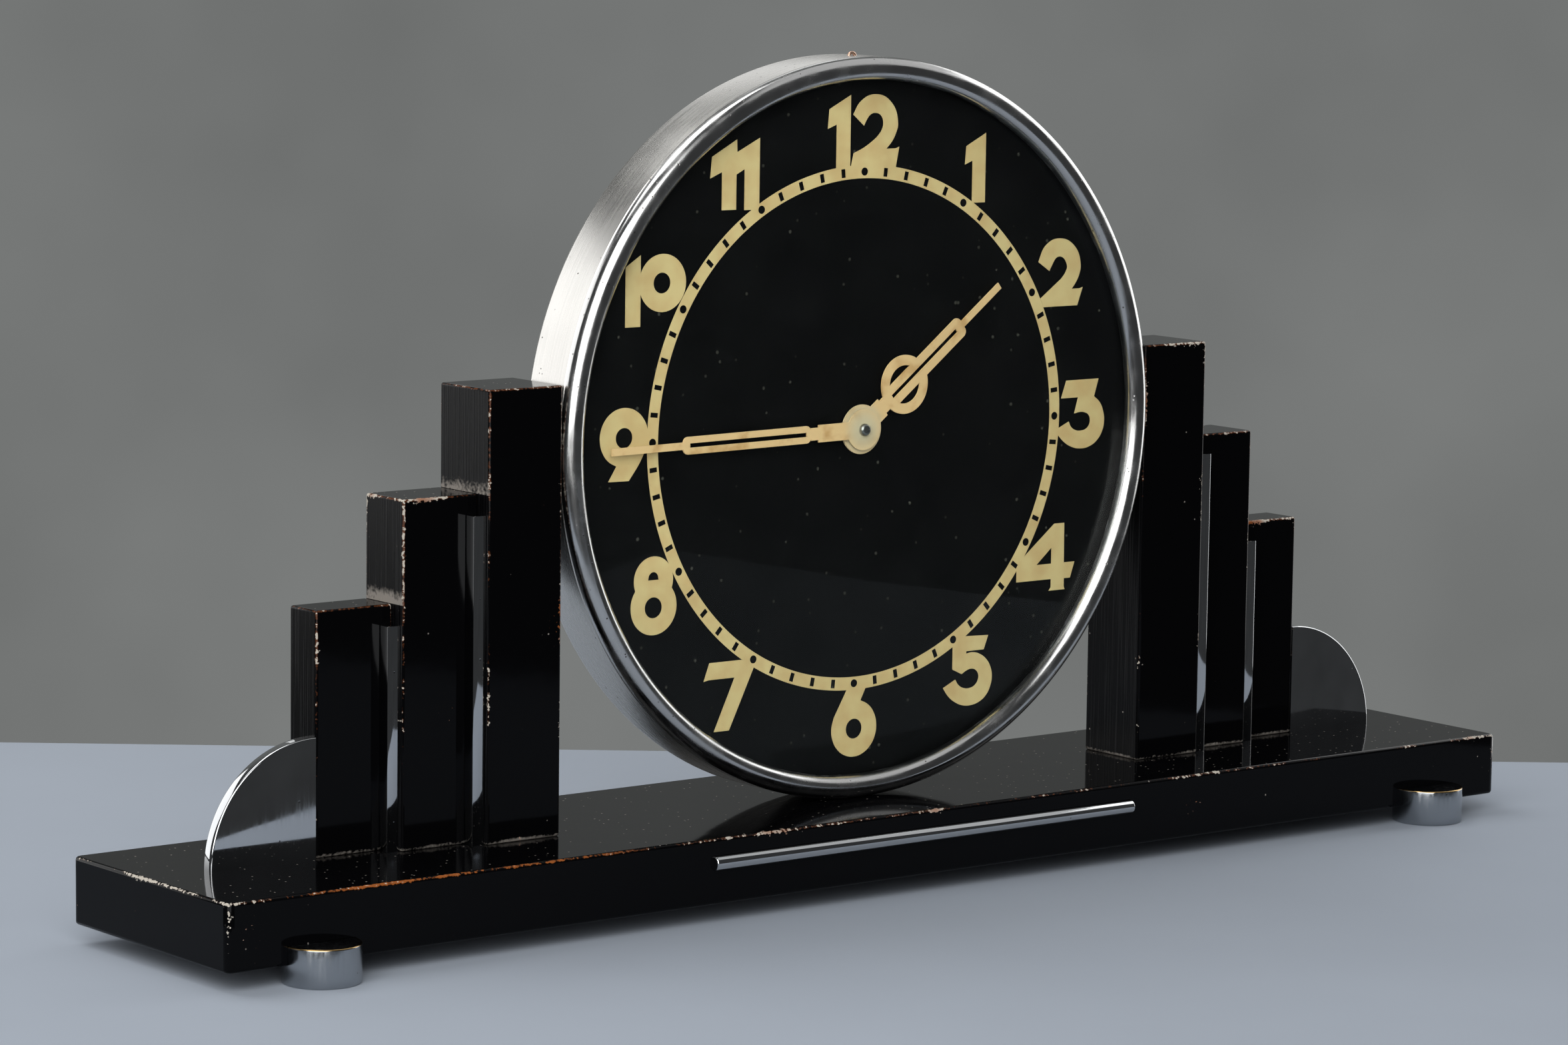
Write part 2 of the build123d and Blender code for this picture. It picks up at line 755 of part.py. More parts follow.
with BuildPart() as movement_posts:
    with BuildSketch(front_plane(drum_back - drum_wall)):
        with Locations(*cover_screw_places):
            Circle(post_radius)
            Circle(cover_screw_radius + fixed_fit, mode=Mode.SUBTRACT)
    extrude(amount=drum_back - drum_wall - plate_back)
save(movement_posts, "movement_posts")

# Movement plates with their bearings
pillar_places = [polar(pillar_distance, angle) for angle in (0, 90, 180, 270)]
pivot_places = [third_at, fourth_at, escape_at, lever_at, balance_at]
centre_pipe_radius = 1.4
barrel_pivot_radius = 1.5
stud_radius = 0.9
with BuildPart() as front_plate:
    with BuildSketch(front_plane(plate_back)):
        Circle(front_plate_radius)
        with Locations(*cover_screw_places):
            Circle(cover_screw_radius + fixed_fit, mode=Mode.SUBTRACT)
        with Locations(*pillar_places):
            Circle(pillar_spigot_radius + fixed_fit, mode=Mode.SUBTRACT)
        with Locations(*dial_feet):
            Circle(dial_pin_radius + fixed_fit, mode=Mode.SUBTRACT)
        with Locations(*pivot_places):
            Circle(pivot_radius + running_fit, mode=Mode.SUBTRACT)
        with Locations(barrel_at):
            Circle(barrel_pivot_radius + running_fit, mode=Mode.SUBTRACT)
        with Locations(minute_at):
            Circle(stud_radius + fixed_fit, mode=Mode.SUBTRACT)
        Circle(centre_pipe_radius + running_fit, mode=Mode.SUBTRACT)
    extrude(amount=plate_thickness)
save(front_plate, "front_plate")

regulator_boss_radius = 1.6
regulator_boss_height = 1.8
click_at = shifted(barrel_at, 12.0, -44.0)
with BuildPart() as back_plate:
    with BuildSketch(front_plane(rear_plate_back)):
        Circle(back_plate_radius)
    extrude(amount=plate_thickness)
    with BuildSketch(front_plane(rear_plate_back + regulator_boss_height)):
        with Locations(balance_at):
            Circle(regulator_boss_radius)
    extrude(amount=regulator_boss_height)
    with BuildSketch(front_plane(rear_plate_back + regulator_boss_height)):
        with Locations(*pivot_places):
            Circle(pivot_radius + running_fit)
        with Locations(*pillar_places):
            Circle(pillar_spigot_radius + fixed_fit)
        with Locations(barrel_at):
            Circle(barrel_pivot_radius + running_fit)
        with Locations(click_at):
            Circle(stud_radius + fixed_fit)
        Circle(centre_pipe_radius + running_fit)
    extrude(amount=regulator_boss_height + plate_thickness, mode=Mode.SUBTRACT)
save(back_plate, "back_plate")

with BuildPart() as plate_pillars:
    with BuildSketch(front_plane(rear_plate_front)):
        with Locations(*pillar_places):
            Circle(pillar_radius)
    extrude(amount=pillar_length)
    with BuildSketch(front_plane(rear_plate_back + plate_nut_height)):
        with Locations(*pillar_places):
            Circle(pillar_spigot_radius)
    extrude(amount=rear_plate_back + plate_nut_height - plate_front)
save(plate_pillars, "plate_pillars")

with BuildPart() as plate_nuts:
    with BuildSketch(front_plane(rear_plate_back + plate_nut_height)):
        with Locations(*pillar_places):
            RegularPolygon(plate_nut_radius, 6)
            Circle(pillar_spigot_radius + fixed_fit, mode=Mode.SUBTRACT)
    extrude(amount=plate_nut_height)
save(plate_nuts, "plate_nuts")

# Motion work in front of the front plate
cannon_leaves_level = (plate_front - 0.3, plate_front - 1.6)
minute_wheel_level = (plate_front - 0.5, plate_front - 1.3)
minute_leaves_level = (plate_front - 1.3, plate_front - 3.5)
hour_wheel_level = (plate_front - 2.3, plate_front - 3.1)
knob_shoulder = cover_back + 0.8
cannon_back = plate_front - 0.2

centre_arbor = stack(centre_at, (
    (arbor_tip_radius, knob_shoulder + knob_length - 1.0, knob_shoulder),
    (arbor_radius, knob_shoulder, cannon_back),
    (arbor_tip_radius, cannon_back, minute_hand_front - 0.7),
))
save(centre_arbor, "centre_arbor")

cannon_pinion = stack(centre_at, (
    (pinion_teeth(cannon_leaves, cannon_module, minute_angle), cannon_leaves_level[0], cannon_leaves_level[1]),
    (cannon_pipe_radius, cannon_back, minute_hand_back),
    (cannon_neck_radius, minute_hand_back, minute_hand_front),
), bore=(arbor_tip_radius + fixed_fit, cannon_back, minute_hand_front))
save(cannon_pinion, "cannon_pinion")

hour_wheel = stack(centre_at, (
    (wheel_teeth(hour_teeth, hour_module, minute_angle), hour_wheel_level[0], hour_wheel_level[1]),
    (hour_pipe_radius, hour_wheel_level[0], hour_hand_back),
    (hour_neck_radius, hour_hand_back, hour_hand_front),
), bore=(cannon_pipe_radius + running_fit, hour_wheel_level[0], hour_hand_front))
save(hour_wheel, "hour_wheel")

minute_wheel = stack(minute_at, (
    (wheel_teeth(minute_teeth, cannon_module, minute_angle + 180), minute_wheel_level[0], minute_wheel_level[1]),
    (pinion_teeth(minute_leaves, hour_module, minute_angle + 180), minute_leaves_level[0], minute_leaves_level[1]),
), bore=(stud_radius + running_fit, minute_wheel_level[0], minute_leaves_level[1]))
save(minute_wheel, "minute_wheel")

minute_stud = stack(minute_at, (
    (stud_radius, plate_back, minute_leaves_level[1] - 0.3),
    (stud_radius + 0.5, plate_front, plate_front - 0.3),
))
save(minute_stud, "minute_stud")

# Hands and the pin that holds them
with BuildPart() as hour_hand:
    with BuildSketch(front_plane(hour_hand_back, turn=-hour_hand_turn)):
        Circle(hour_boss_radius)
        with Locations((0, hour_stem[1] / 2)):
            Rectangle(hour_stem[0], hour_stem[1])
        with Locations((0, hour_notch[1] / 2)):
            Rectangle(hour_notch[0], hour_notch[1])
        with Locations((0, hour_ring_distance)):
            Circle(hour_ring_radius)
            Circle(hour_ring_inner, mode=Mode.SUBTRACT)
        with Locations((0, (hour_bars[1] + hour_bars[2]) / 2)):
            RectangleRounded(hour_bars[0], hour_bars[2] - hour_bars[1], hour_bars[3])
        with Locations((0, (hour_bars[1] + hour_blade[1]) / 2)):
            Rectangle(hour_blade[0], hour_blade[1] - hour_bars[1])
        with Locations((0, (hour_slot[1] + hour_slot[2]) / 2)):
            Rectangle(hour_slot[0], hour_slot[2] - hour_slot[1], mode=Mode.SUBTRACT)
        Circle(hour_neck_radius + fixed_fit, mode=Mode.SUBTRACT)
    extrude(amount=hand_thickness)
save(hour_hand, "hour_hand")

with BuildPart() as minute_hand:
    with BuildSketch(front_plane(minute_hand_back, turn=-minute_hand_turn)):
        Circle(minute_boss_radius)
        with Locations((0, minute_stem[1] / 2)):
            Rectangle(minute_stem[0], minute_stem[1])
        with Locations((0, minute_notch[1] / 2)):
            Rectangle(minute_notch[0], minute_notch[1])
        with Locations((0, (minute_bars[1] + minute_bars[2]) / 2)):
            RectangleRounded(minute_bars[0], minute_bars[2] - minute_bars[1], minute_bars[3])
        with Locations((0, (minute_bars[1] + minute_blade[1]) / 2)):
            Rectangle(minute_blade[0], minute_blade[1] - minute_bars[1])
        with Locations((0, (minute_slot[1] + minute_slot[2]) / 2)):
            Rectangle(minute_slot[0], minute_slot[2] - minute_slot[1], mode=Mode.SUBTRACT)
        Circle(cannon_neck_radius + fixed_fit, mode=Mode.SUBTRACT)
    extrude(amount=hand_thickness)
save(minute_hand, "minute_hand")

with BuildPart() as hand_pin:
    with BuildSketch(front_plane(minute_hand_front)):
        Circle(hand_pin_radius)
    extrude(amount=hand_pin_length)
    fillet(hand_pin.faces().sort_by(Axis.Y)[0].edges(), hand_pin_radius / 2)
    with BuildSketch(front_plane(minute_hand_front)):
        Circle(arbor_tip_radius + fixed_fit)
    extrude(amount=0.7 + fixed_fit, mode=Mode.SUBTRACT)
save(hand_pin, "hand_pin")

with BuildPart() as set_knob:
    with BuildSketch(front_plane(knob_shoulder + knob_length)):
        Polygon(*tooth_outline(knob_ridges, 2 * knob_radius / knob_ridges, (0.15, 0.35, 0.0, 1.0), 0), align=None)
    extrude(amount=knob_length)
    with BuildSketch(front_plane(knob_shoulder + knob_length - 1.0)):
        Circle(arbor_tip_radius + fixed_fit)
    extrude(amount=knob_length - 1.0, mode=Mode.SUBTRACT)
save(set_knob, "set_knob")

# Barrel with its cover and spring
barrel_radius = 14.6
barrel_wall = 1.0
barrel_bore = 2.0
barrel_back = plate_back + 12.2
with BuildPart() as barrel:
    with BuildSketch(front_plane(great_wheel[0], barrel_at)):
        Polygon(*wheel_teeth(barrel_teeth, barrel_module, barrel_angle + 180), align=None)
    extrude(amount=great_wheel[0] - great_wheel[1])
    with BuildSketch(front_plane(barrel_back, barrel_at)):
        Circle(barrel_radius)
        Circle(barrel_radius - barrel_wall, mode=Mode.SUBTRACT)
    extrude(amount=barrel_back - great_wheel[0])
    with BuildSketch(front_plane(great_wheel[0], barrel_at)):
        Circle(barrel_bore + running_fit)
    extrude(amount=great_wheel[0] - great_wheel[1], mode=Mode.SUBTRACT)
save(barrel, "barrel")

barrel_cover = stack(barrel_at, ((barrel_radius, barrel_back + 0.8, barrel_back),),
                     bore=(barrel_bore + running_fit, barrel_back + 0.8, barrel_back))
save(barrel_cover, "barrel_cover")

with BuildPart() as mainspring:
    with BuildSketch(front_plane(barrel_back - 0.4, barrel_at)):
        Polygon(*spiral_outline(3.4, barrel_radius - barrel_wall - 0.6, 0.9, 4.5, 0), align=None)
    extrude(amount=barrel_back - 0.4 - great_wheel[0])
save(mainspring, "mainspring")

# Winding arbor with its square end, ratchet wheel and key
key_end = key_wing_start + key_wing_height
with BuildPart() as barrel_arbor:
    with BuildSketch(front_plane(ratchet_level[1], barrel_at)):
        Circle(barrel_pivot_radius)
    extrude(amount=ratchet_level[1] - plate_front)
    with BuildSketch(front_plane(barrel_back + 1.2, barrel_at)):
        Circle(barrel_bore)
    extrude(amount=barrel_back + 1.2 - great_wheel[1] + 0.4)
    with BuildSketch(front_plane(key_wing_start - 4.0, barrel_at)):
        Rectangle(arbor_square, arbor_square)
    extrude(amount=key_wing_start - 4.0 - ratchet_level[1])
save(barrel_arbor, "barrel_arbor")

with BuildPart() as ratchet_wheel:
    with BuildSketch(front_plane(ratchet_level[0], barrel_at)):
        Polygon(*saw_outline(ratchet_teeth, ratchet_tip_radius, ratchet_root_radius, 0.8), align=None)
        Rectangle(arbor_square + 2 * fixed_fit, arbor_square + 2 * fixed_fit, mode=Mode.SUBTRACT)
    extrude(amount=ratchet_level[0] - ratchet_level[1])
save(ratchet_wheel, "ratchet_wheel")

with BuildPart() as winding_key:
    with BuildSketch(front_plane(key_wing_start + 2.0, barrel_at)):
        Circle(key_hub_radius)
    extrude(amount=key_wing_start + 2.0 - ratchet_level[0])
    with BuildSketch(front_plane(key_wing_start - 4.0, barrel_at)):
        Rectangle(arbor_square + 2 * fixed_fit, arbor_square + 2 * fixed_fit)
    extrude(amount=key_wing_start - 4.0 - ratchet_level[0], mode=Mode.SUBTRACT)
    wing_radius = key_wing_height / 2
    wing_middle = key_wing_start + wing_radius
    with BuildSketch(Plane(origin=(barrel_at[0] - key_wing_thickness / 2, wing_middle, drum_z + barrel_at[1]),
                           x_dir=(0, 1, 0), z_dir=(1, 0, 0))):
        for sign in (-1, 1):
            with Locations((0, sign * (key_wing_half_width - wing_radius))):
                Circle(wing_radius)
                Circle(wing_radius - 2.2, mode=Mode.SUBTRACT)
        Rectangle(key_wing_height * 0.6, 2 * (key_wing_half_width - key_wing_height) + 1.5)
    extrude(amount=key_wing_thickness)
save(winding_key, "winding_key")

# Spring click riveted to the back plate, its tip just clear of the ratchet wheel
with BuildPart() as click:
    click_tip = shifted(barrel_at, ratchet_tip_radius + 0.25, -92.0)
    click_level = (rear_plate_back + 1.6, rear_plate_back)
    along = sqrt((click_tip[0] - click_at[0]) ** 2 + (click_tip[1] - click_at[1]) ** 2)
    click_unit = ((click_tip[0] - click_at[0]) / along, (click_tip[1] - click_at[1]) / along)
    click_side = (click_unit[1], -click_unit[0])
    with BuildSketch(front_plane(click_level[0])):
        with Locations(click_at):
            Circle(1.6)
        Polygon((click_at[0] - 0.8 * click_side[0], click_at[1] - 0.8 * click_side[1]),
                click_tip,
                (click_tip[0] - 0.7 * click_side[0], click_tip[1] - 0.7 * click_side[1]),
                (click_at[0] - 1.5 * click_side[0], click_at[1] - 1.5 * click_side[1]), align=None)
    extrude(amount=click_level[0] - click_level[1])
    with BuildSketch(front_plane(rear_plate_back)):
        with Locations(click_at):
            Circle(stud_radius)
    extrude(amount=plate_thickness)
save(click, "click")

# Going train: every arbor runs in both plates
centre_wheel = stack(centre_at, (
    (centre_pipe_radius, rear_plate_back, plate_front),
    (pinion_teeth(centre_pinion_leaves, barrel_module, barrel_angle), centre_pinion_level[0], centre_pinion_level[1]),
    (wheel_teeth(centre_teeth, centre_module, third_angle), centre_wheel_level[0], centre_wheel_level[1]),
), bore=(arbor_radius + running_fit, rear_plate_back, plate_front),
    windows=(3.6, 10.2, 4, centre_wheel_level[0], centre_wheel_level[1]))
save(centre_wheel, "centre_wheel")

third_wheel = stack(third_at, (
    (pivot_radius, rear_plate_back, plate_front),
    (0.8, rear_plate_front - 0.2, plate_back + 0.2),
    (wheel_teeth(third_teeth, third_module, fourth_angle), third_wheel_level[0], third_wheel_level[1]),
    (pinion_teeth(third_pinion_leaves, centre_module, third_angle + 180), third_pinion_level[0], third_pinion_level[1]),
), windows=(2.4, 9.6, 4, third_wheel_level[0], third_wheel_level[1]))
save(third_wheel, "third_wheel")

fourth_wheel = stack(fourth_at, (
    (pivot_radius, rear_plate_back, plate_front),
    (0.7, rear_plate_front - 0.2, plate_back + 0.2),
    (wheel_teeth(fourth_teeth, fourth_module, escape_angle), fourth_wheel_level[0], fourth_wheel_level[1]),
    (pinion_teeth(fourth_pinion_leaves, third_module, fourth_angle + 180), fourth_pinion_level[0], fourth_pinion_level[1]),
), windows=(2.2, 7.9, 4, fourth_wheel_level[0], fourth_wheel_level[1]))
save(fourth_wheel, "fourth_wheel")

escape_wheel = stack(escape_at, (
    (pivot_radius, rear_plate_back, plate_front),
    (0.5, rear_plate_front - 0.2, plate_back + 0.2),
    (saw_outline(escape_teeth, escape_tip_radius, escape_root_radius, 0.8), lever_level[0] - 0.1, lever_level[1] + 0.1),
    (pinion_teeth(escape_pinion_leaves, fourth_module, escape_angle + 180), escape_pinion_level[0], escape_pinion_level[1]),
), windows=(1.6, 3.6, 3, lever_level[0] - 0.1, lever_level[1] + 0.1))
save(escape_wheel, "escape_wheel")

# Pallet lever: two arms over the escape wheel and a fork towards the balance
pallet_radius = escape_tip_radius + pallet_clearance
pallet_spread = 32.0
with BuildPart() as pallet_lever:
    with BuildSketch(front_plane(rear_plate_back, lever_at)):
        Circle(pivot_radius)
    extrude(amount=rear_plate_back - plate_front)
    with BuildSketch(front_plane(rear_plate_front - 0.2, lever_at)):
        Circle(0.6)
    extrude(amount=pillar_length - 0.4)
    with BuildSketch(front_plane(lever_level[0], lever_at)):
        Circle(1.3)
        for sign in (-1, 1):
            inner = polar(pallet_radius, 180 - sign * pallet_spread)
            outer = polar(pallet_radius + 1.4, 180 - sign * pallet_spread)
            wide = polar(pallet_radius + 1.4, 180 - sign * (pallet_spread + 7))
            sharp = polar(pallet_radius, 180 - sign * (pallet_spread + 7))
            Polygon((inner[0] + lever_distance, inner[1]), (outer[0] + lever_distance, outer[1]),
                    (wide[0] + lever_distance, wide[1]), (sharp[0] + lever_distance, sharp[1]), align=None)
            Polygon((0.3, 0), (-0.9, 0.6 * sign), (outer[0] + lever_distance, outer[1]),
                    (wide[0] + lever_distance, wide[1]), align=None)
        fork_end = balance_distance - lever_distance - roller_radius - 0.7
        Polygon((0, 0.45), (-fork_end + 1.4, 0.45), (-fork_end, 1.1), (-fork_end, 0.5), (-fork_end + 1.0, 0),
                (-fork_end, -0.5), (-fork_end, -1.1), (-fork_end + 1.4, -0.45), (0, -0.45), align=None)
    extrude(amount=lever_level[0] - lever_level[1])
save(pallet_lever, "pallet_lever")

# Balance wheel with its staff and roller
with BuildPart() as balance_wheel:
    with BuildSketch(front_plane(rear_plate_back + regulator_boss_height, balance_at)):
        Circle(pivot_radius)
    extrude(amount=rear_plate_back + regulator_boss_height - plate_front)
    with BuildSketch(front_plane(rear_plate_front - 0.2, balance_at)):
        Circle(0.8)
    extrude(amount=pillar_length - 0.4)
    with BuildSketch(front_plane(lever_level[0], balance_at)):
        Circle(roller_radius)
    extrude(amount=lever_level[0] - lever_level[1])
    with BuildSketch(front_plane(balance_level[0], balance_at)):
        Circle(balance_radius)
        Circle(balance_radius - balance_rim, mode=Mode.SUBTRACT)
        Rectangle(2 * balance_radius - balance_rim, 1.6)
        Rectangle(1.6, 2 * balance_radius - balance_rim)
        Circle(1.6)
    extrude(amount=balance_level[0] - balance_level[1])
save(balance_wheel, "balance_wheel")

hair_outer = 6.4
hair_end = polar(hair_outer, 90.0)
with BuildPart() as hairspring:
    with BuildSketch(front_plane(hairspring_level[0], balance_at)):
        Polygon(*spiral_outline(1.6, hair_outer, 0.3, 4.0, 90.0), align=None)
    extrude(amount=hairspring_level[0] - hairspring_level[1])
save(hairspring, "hairspring")

with BuildPart() as hairspring_stud:
    with BuildSketch(front_plane(rear_plate_front, balance_at)):
        with Locations(hair_end):
            Rectangle(1.2, 1.0)
    extrude(amount=rear_plate_front - hairspring_level[0])
save(hairspring_stud, "hairspring_stud")

# Regulator on its boss behind the back plate
with BuildPart() as regulator:
    regulator_level = (rear_plate_back + 1.2, rear_plate_back + 0.4)
    with BuildSketch(front_plane(regulator_level[0], balance_at, turn=regulator_angle)):
        with Locations((regulator_reach / 2, 0)):
            Rectangle(regulator_reach, 1.8)
        with Locations((regulator_reach, 0)):
            Circle(0.9)
        Circle(regulator_boss_radius + 1.4)
        Circle(regulator_boss_radius + running_fit, mode=Mode.SUBTRACT)
    extrude(amount=regulator_level[0] - regulator_level[1])
    with BuildSketch(front_plane(cover_back + 1.6, shifted(balance_at, regulator_reach, regulator_angle))):
        Circle(regulator_pin_radius)
    extrude(amount=cover_back + 1.6 - regulator_level[0])
save(regulator, "regulator")
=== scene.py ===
"""Looks of a stepped mantel clock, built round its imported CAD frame.

The wooden base and columns, the chrome trim, the drum with its bezel and glass, the dial, the hands and
the fittings at the back are each a class. Sizes are in millimetres unless a name says otherwise, and the
frame is the CAD's: X to the clock's right, -Y towards the viewer, Z up.
"""

import json
import logging
import math
from contextlib import contextmanager
from dataclasses import dataclass
from enum import Enum
from functools import cache
from typing import Any, Callable, Iterator, Sequence

import bmesh
import bpy
from mathutils import Matrix, Vector

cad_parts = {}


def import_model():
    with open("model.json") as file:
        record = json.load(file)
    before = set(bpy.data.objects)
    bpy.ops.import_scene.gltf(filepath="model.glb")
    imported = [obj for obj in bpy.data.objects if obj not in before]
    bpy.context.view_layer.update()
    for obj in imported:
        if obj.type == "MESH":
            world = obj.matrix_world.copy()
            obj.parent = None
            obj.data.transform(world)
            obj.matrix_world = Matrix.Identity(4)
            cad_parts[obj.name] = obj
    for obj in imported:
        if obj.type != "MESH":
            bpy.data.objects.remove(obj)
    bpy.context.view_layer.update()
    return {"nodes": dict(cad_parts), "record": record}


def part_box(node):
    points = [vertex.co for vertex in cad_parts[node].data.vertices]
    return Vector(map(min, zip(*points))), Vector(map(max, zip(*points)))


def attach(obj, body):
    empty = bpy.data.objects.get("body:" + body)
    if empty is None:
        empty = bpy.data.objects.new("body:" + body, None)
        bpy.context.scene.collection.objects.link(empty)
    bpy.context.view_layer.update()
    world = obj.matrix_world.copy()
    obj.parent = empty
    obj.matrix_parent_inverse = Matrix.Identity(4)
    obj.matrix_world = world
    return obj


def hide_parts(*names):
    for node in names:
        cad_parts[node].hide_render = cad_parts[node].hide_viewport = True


Point = tuple[float, float]
Corner = tuple[float, float, float]
Piece = bpy.types.Object
Material = bpy.types.Material
Node = bpy.types.Node

MM = 0.001
TINY = 1e-6  # distance in metres within which two points are one
FULL_TURN = 2.0 * math.pi
TO_FRONT: Corner = (math.pi / 2, 0.0, 0.0)  # turn that lays an upright axis front to back
SQUARE = 0.9999  # least part of a normal along an axis, for a face square to that axis
FACING = 0.99  # and for a face that looks that way
FACETS, CHAMFER = 3, 1  # facets across a rounded and across a bevelled edge
SOFT, PLAIN, FINE, FINEST = 2.0, 3.0, 4.0, 5.0  # detail of a noise
RELIEF = 0.1 * MM  # height of most bumps
MINUTES = 60
PHOTO_WIDTH = 2353
FOOT_NODES = ("front_left_foot", "front_right_foot", "rear_left_foot", "rear_right_foot")
DRUM_MIDDLE: Corner = (0.0, 0.0, 110.2)
BASE_TOP = 20.3

log = logging.getLogger("mantel_clock")


class Side(Enum):
    """The clock's two sides, seen from the front, with the sign of their X."""

    LEFT = -1
    RIGHT = 1


class Bend(Enum):
    """How a printed outline passes through a point."""

    SHARP = "VECTOR"
    ROUND = "AUTO"


class Element(Enum):
    """What can be selected in a mesh."""

    FACE = "faces"
    EDGE = "edges"
    VERT = "verts"


class Fuse(Enum):
    """What a tool does to a piece."""

    ADD = "UNION"
    CUT = "DIFFERENCE"


# Shader helpers


def linear(code: str) -> tuple[float, float, float, float]:
    """Turn an sRGB hex code into linear RGBA.

    Args:
        code: Colour such as "#CDBB77".

    Returns:
        Red, green, blue and alpha in linear light.
    """
    parts = [int(code[i : i + 2], 16) / 255.0 for i in (1, 3, 5)]
    red, green, blue = (c / 12.92 if c <= 0.04045 else ((c + 0.055) / 1.055) ** 2.4 for c in parts)
    return (red, green, blue, 1.0)


def per_metre(size_mm: float) -> float:
    """Texture scale whose features are about the given size in millimetres."""
    return 1.0 / (size_mm * MM)


def metres(corner: Corner) -> Vector:
    """Turn a millimetre point into a vector in metres."""
    return Vector(corner) * MM


class Recipe:
    """The node tree of a material or world in the making."""

    def __init__(self, owner: Material | bpy.types.World) -> None:
        """Empty the owner's node tree and lay out its coordinates.

        Args:
            owner: Material or world that gets the nodes.
        """
        owner.use_nodes = True
        self.owner = owner
        self.tree = owner.node_tree
        self.tree.nodes.clear()
        self.at = self.add("TexCoord").outputs

    def add(self, kind: str, *feeds: Any, named: dict[str, Any] | None = None, **settings: Any) -> Node:
        """Add one shader node, set its properties and feed its inputs.

        A feed is a constant, a hex colour, another node's output socket, or a node, which gives its first
        output in use.

        Args:
            kind: Node type without its "ShaderNode".
            *feeds: Feeds of the inputs in use, in their order.
            named: Feeds of inputs by name.
            **settings: Properties of the node itself.

        Returns:
            The new node.
        """
        node = self.tree.nodes.new(f"ShaderNode{kind}")
        for name, value in settings.items():
            setattr(node, name, value)
        pairs = list(zip((socket for socket in node.inputs if socket.enabled), feeds))
        pairs += [(node.inputs[name], feed) for name, feed in (named or {}).items()]
        for socket, feed in pairs:
            if isinstance(feed, Node):
                feed = next(output for output in feed.outputs if output.enabled)
            if isinstance(feed, bpy.types.NodeSocket):
                self.tree.links.new(feed, socket)
            else:
                socket.default_value = linear(feed) if isinstance(feed, str) else feed
        return node

    def close(self, surface: Node) -> Material:
        """Send the surface shader to the output and hand over the material."""
        self.add("OutputMaterial", surface)
        return self.owner


def scattered(recipe: Recipe, spacing_mm: float, size: Point, channel: str, least: Any) -> Node:
    """Scatter round specks over a surface.

    Args:
        recipe: The material in the making.
        spacing_mm: Distance between the places that can hold a speck.
        size: How far from its middle a speck ends, and where it is full, in shares of that distance.
        channel: Colour channel of the cells that gives each place its chance.
        least: Lowest chance with which a place holds a speck, as a feed.

    Returns:
        Node that is 1 on a speck and 0 beside it.
    """
    cells = recipe.add("TexVoronoi", recipe.at["Object"], per_metre(spacing_mm))
    spot = recipe.add("MapRange", cells, *size)
    chance = recipe.add("SeparateColor", cells.outputs["Color"]).outputs[channel]
    kept = recipe.add("Math", chance, least, operation="GREATER_THAN")
    return recipe.add("Math", spot, kept, operation="MULTIPLY")


# Finishes, in which a pair of numbers gives the values where a mask starts and where it is full


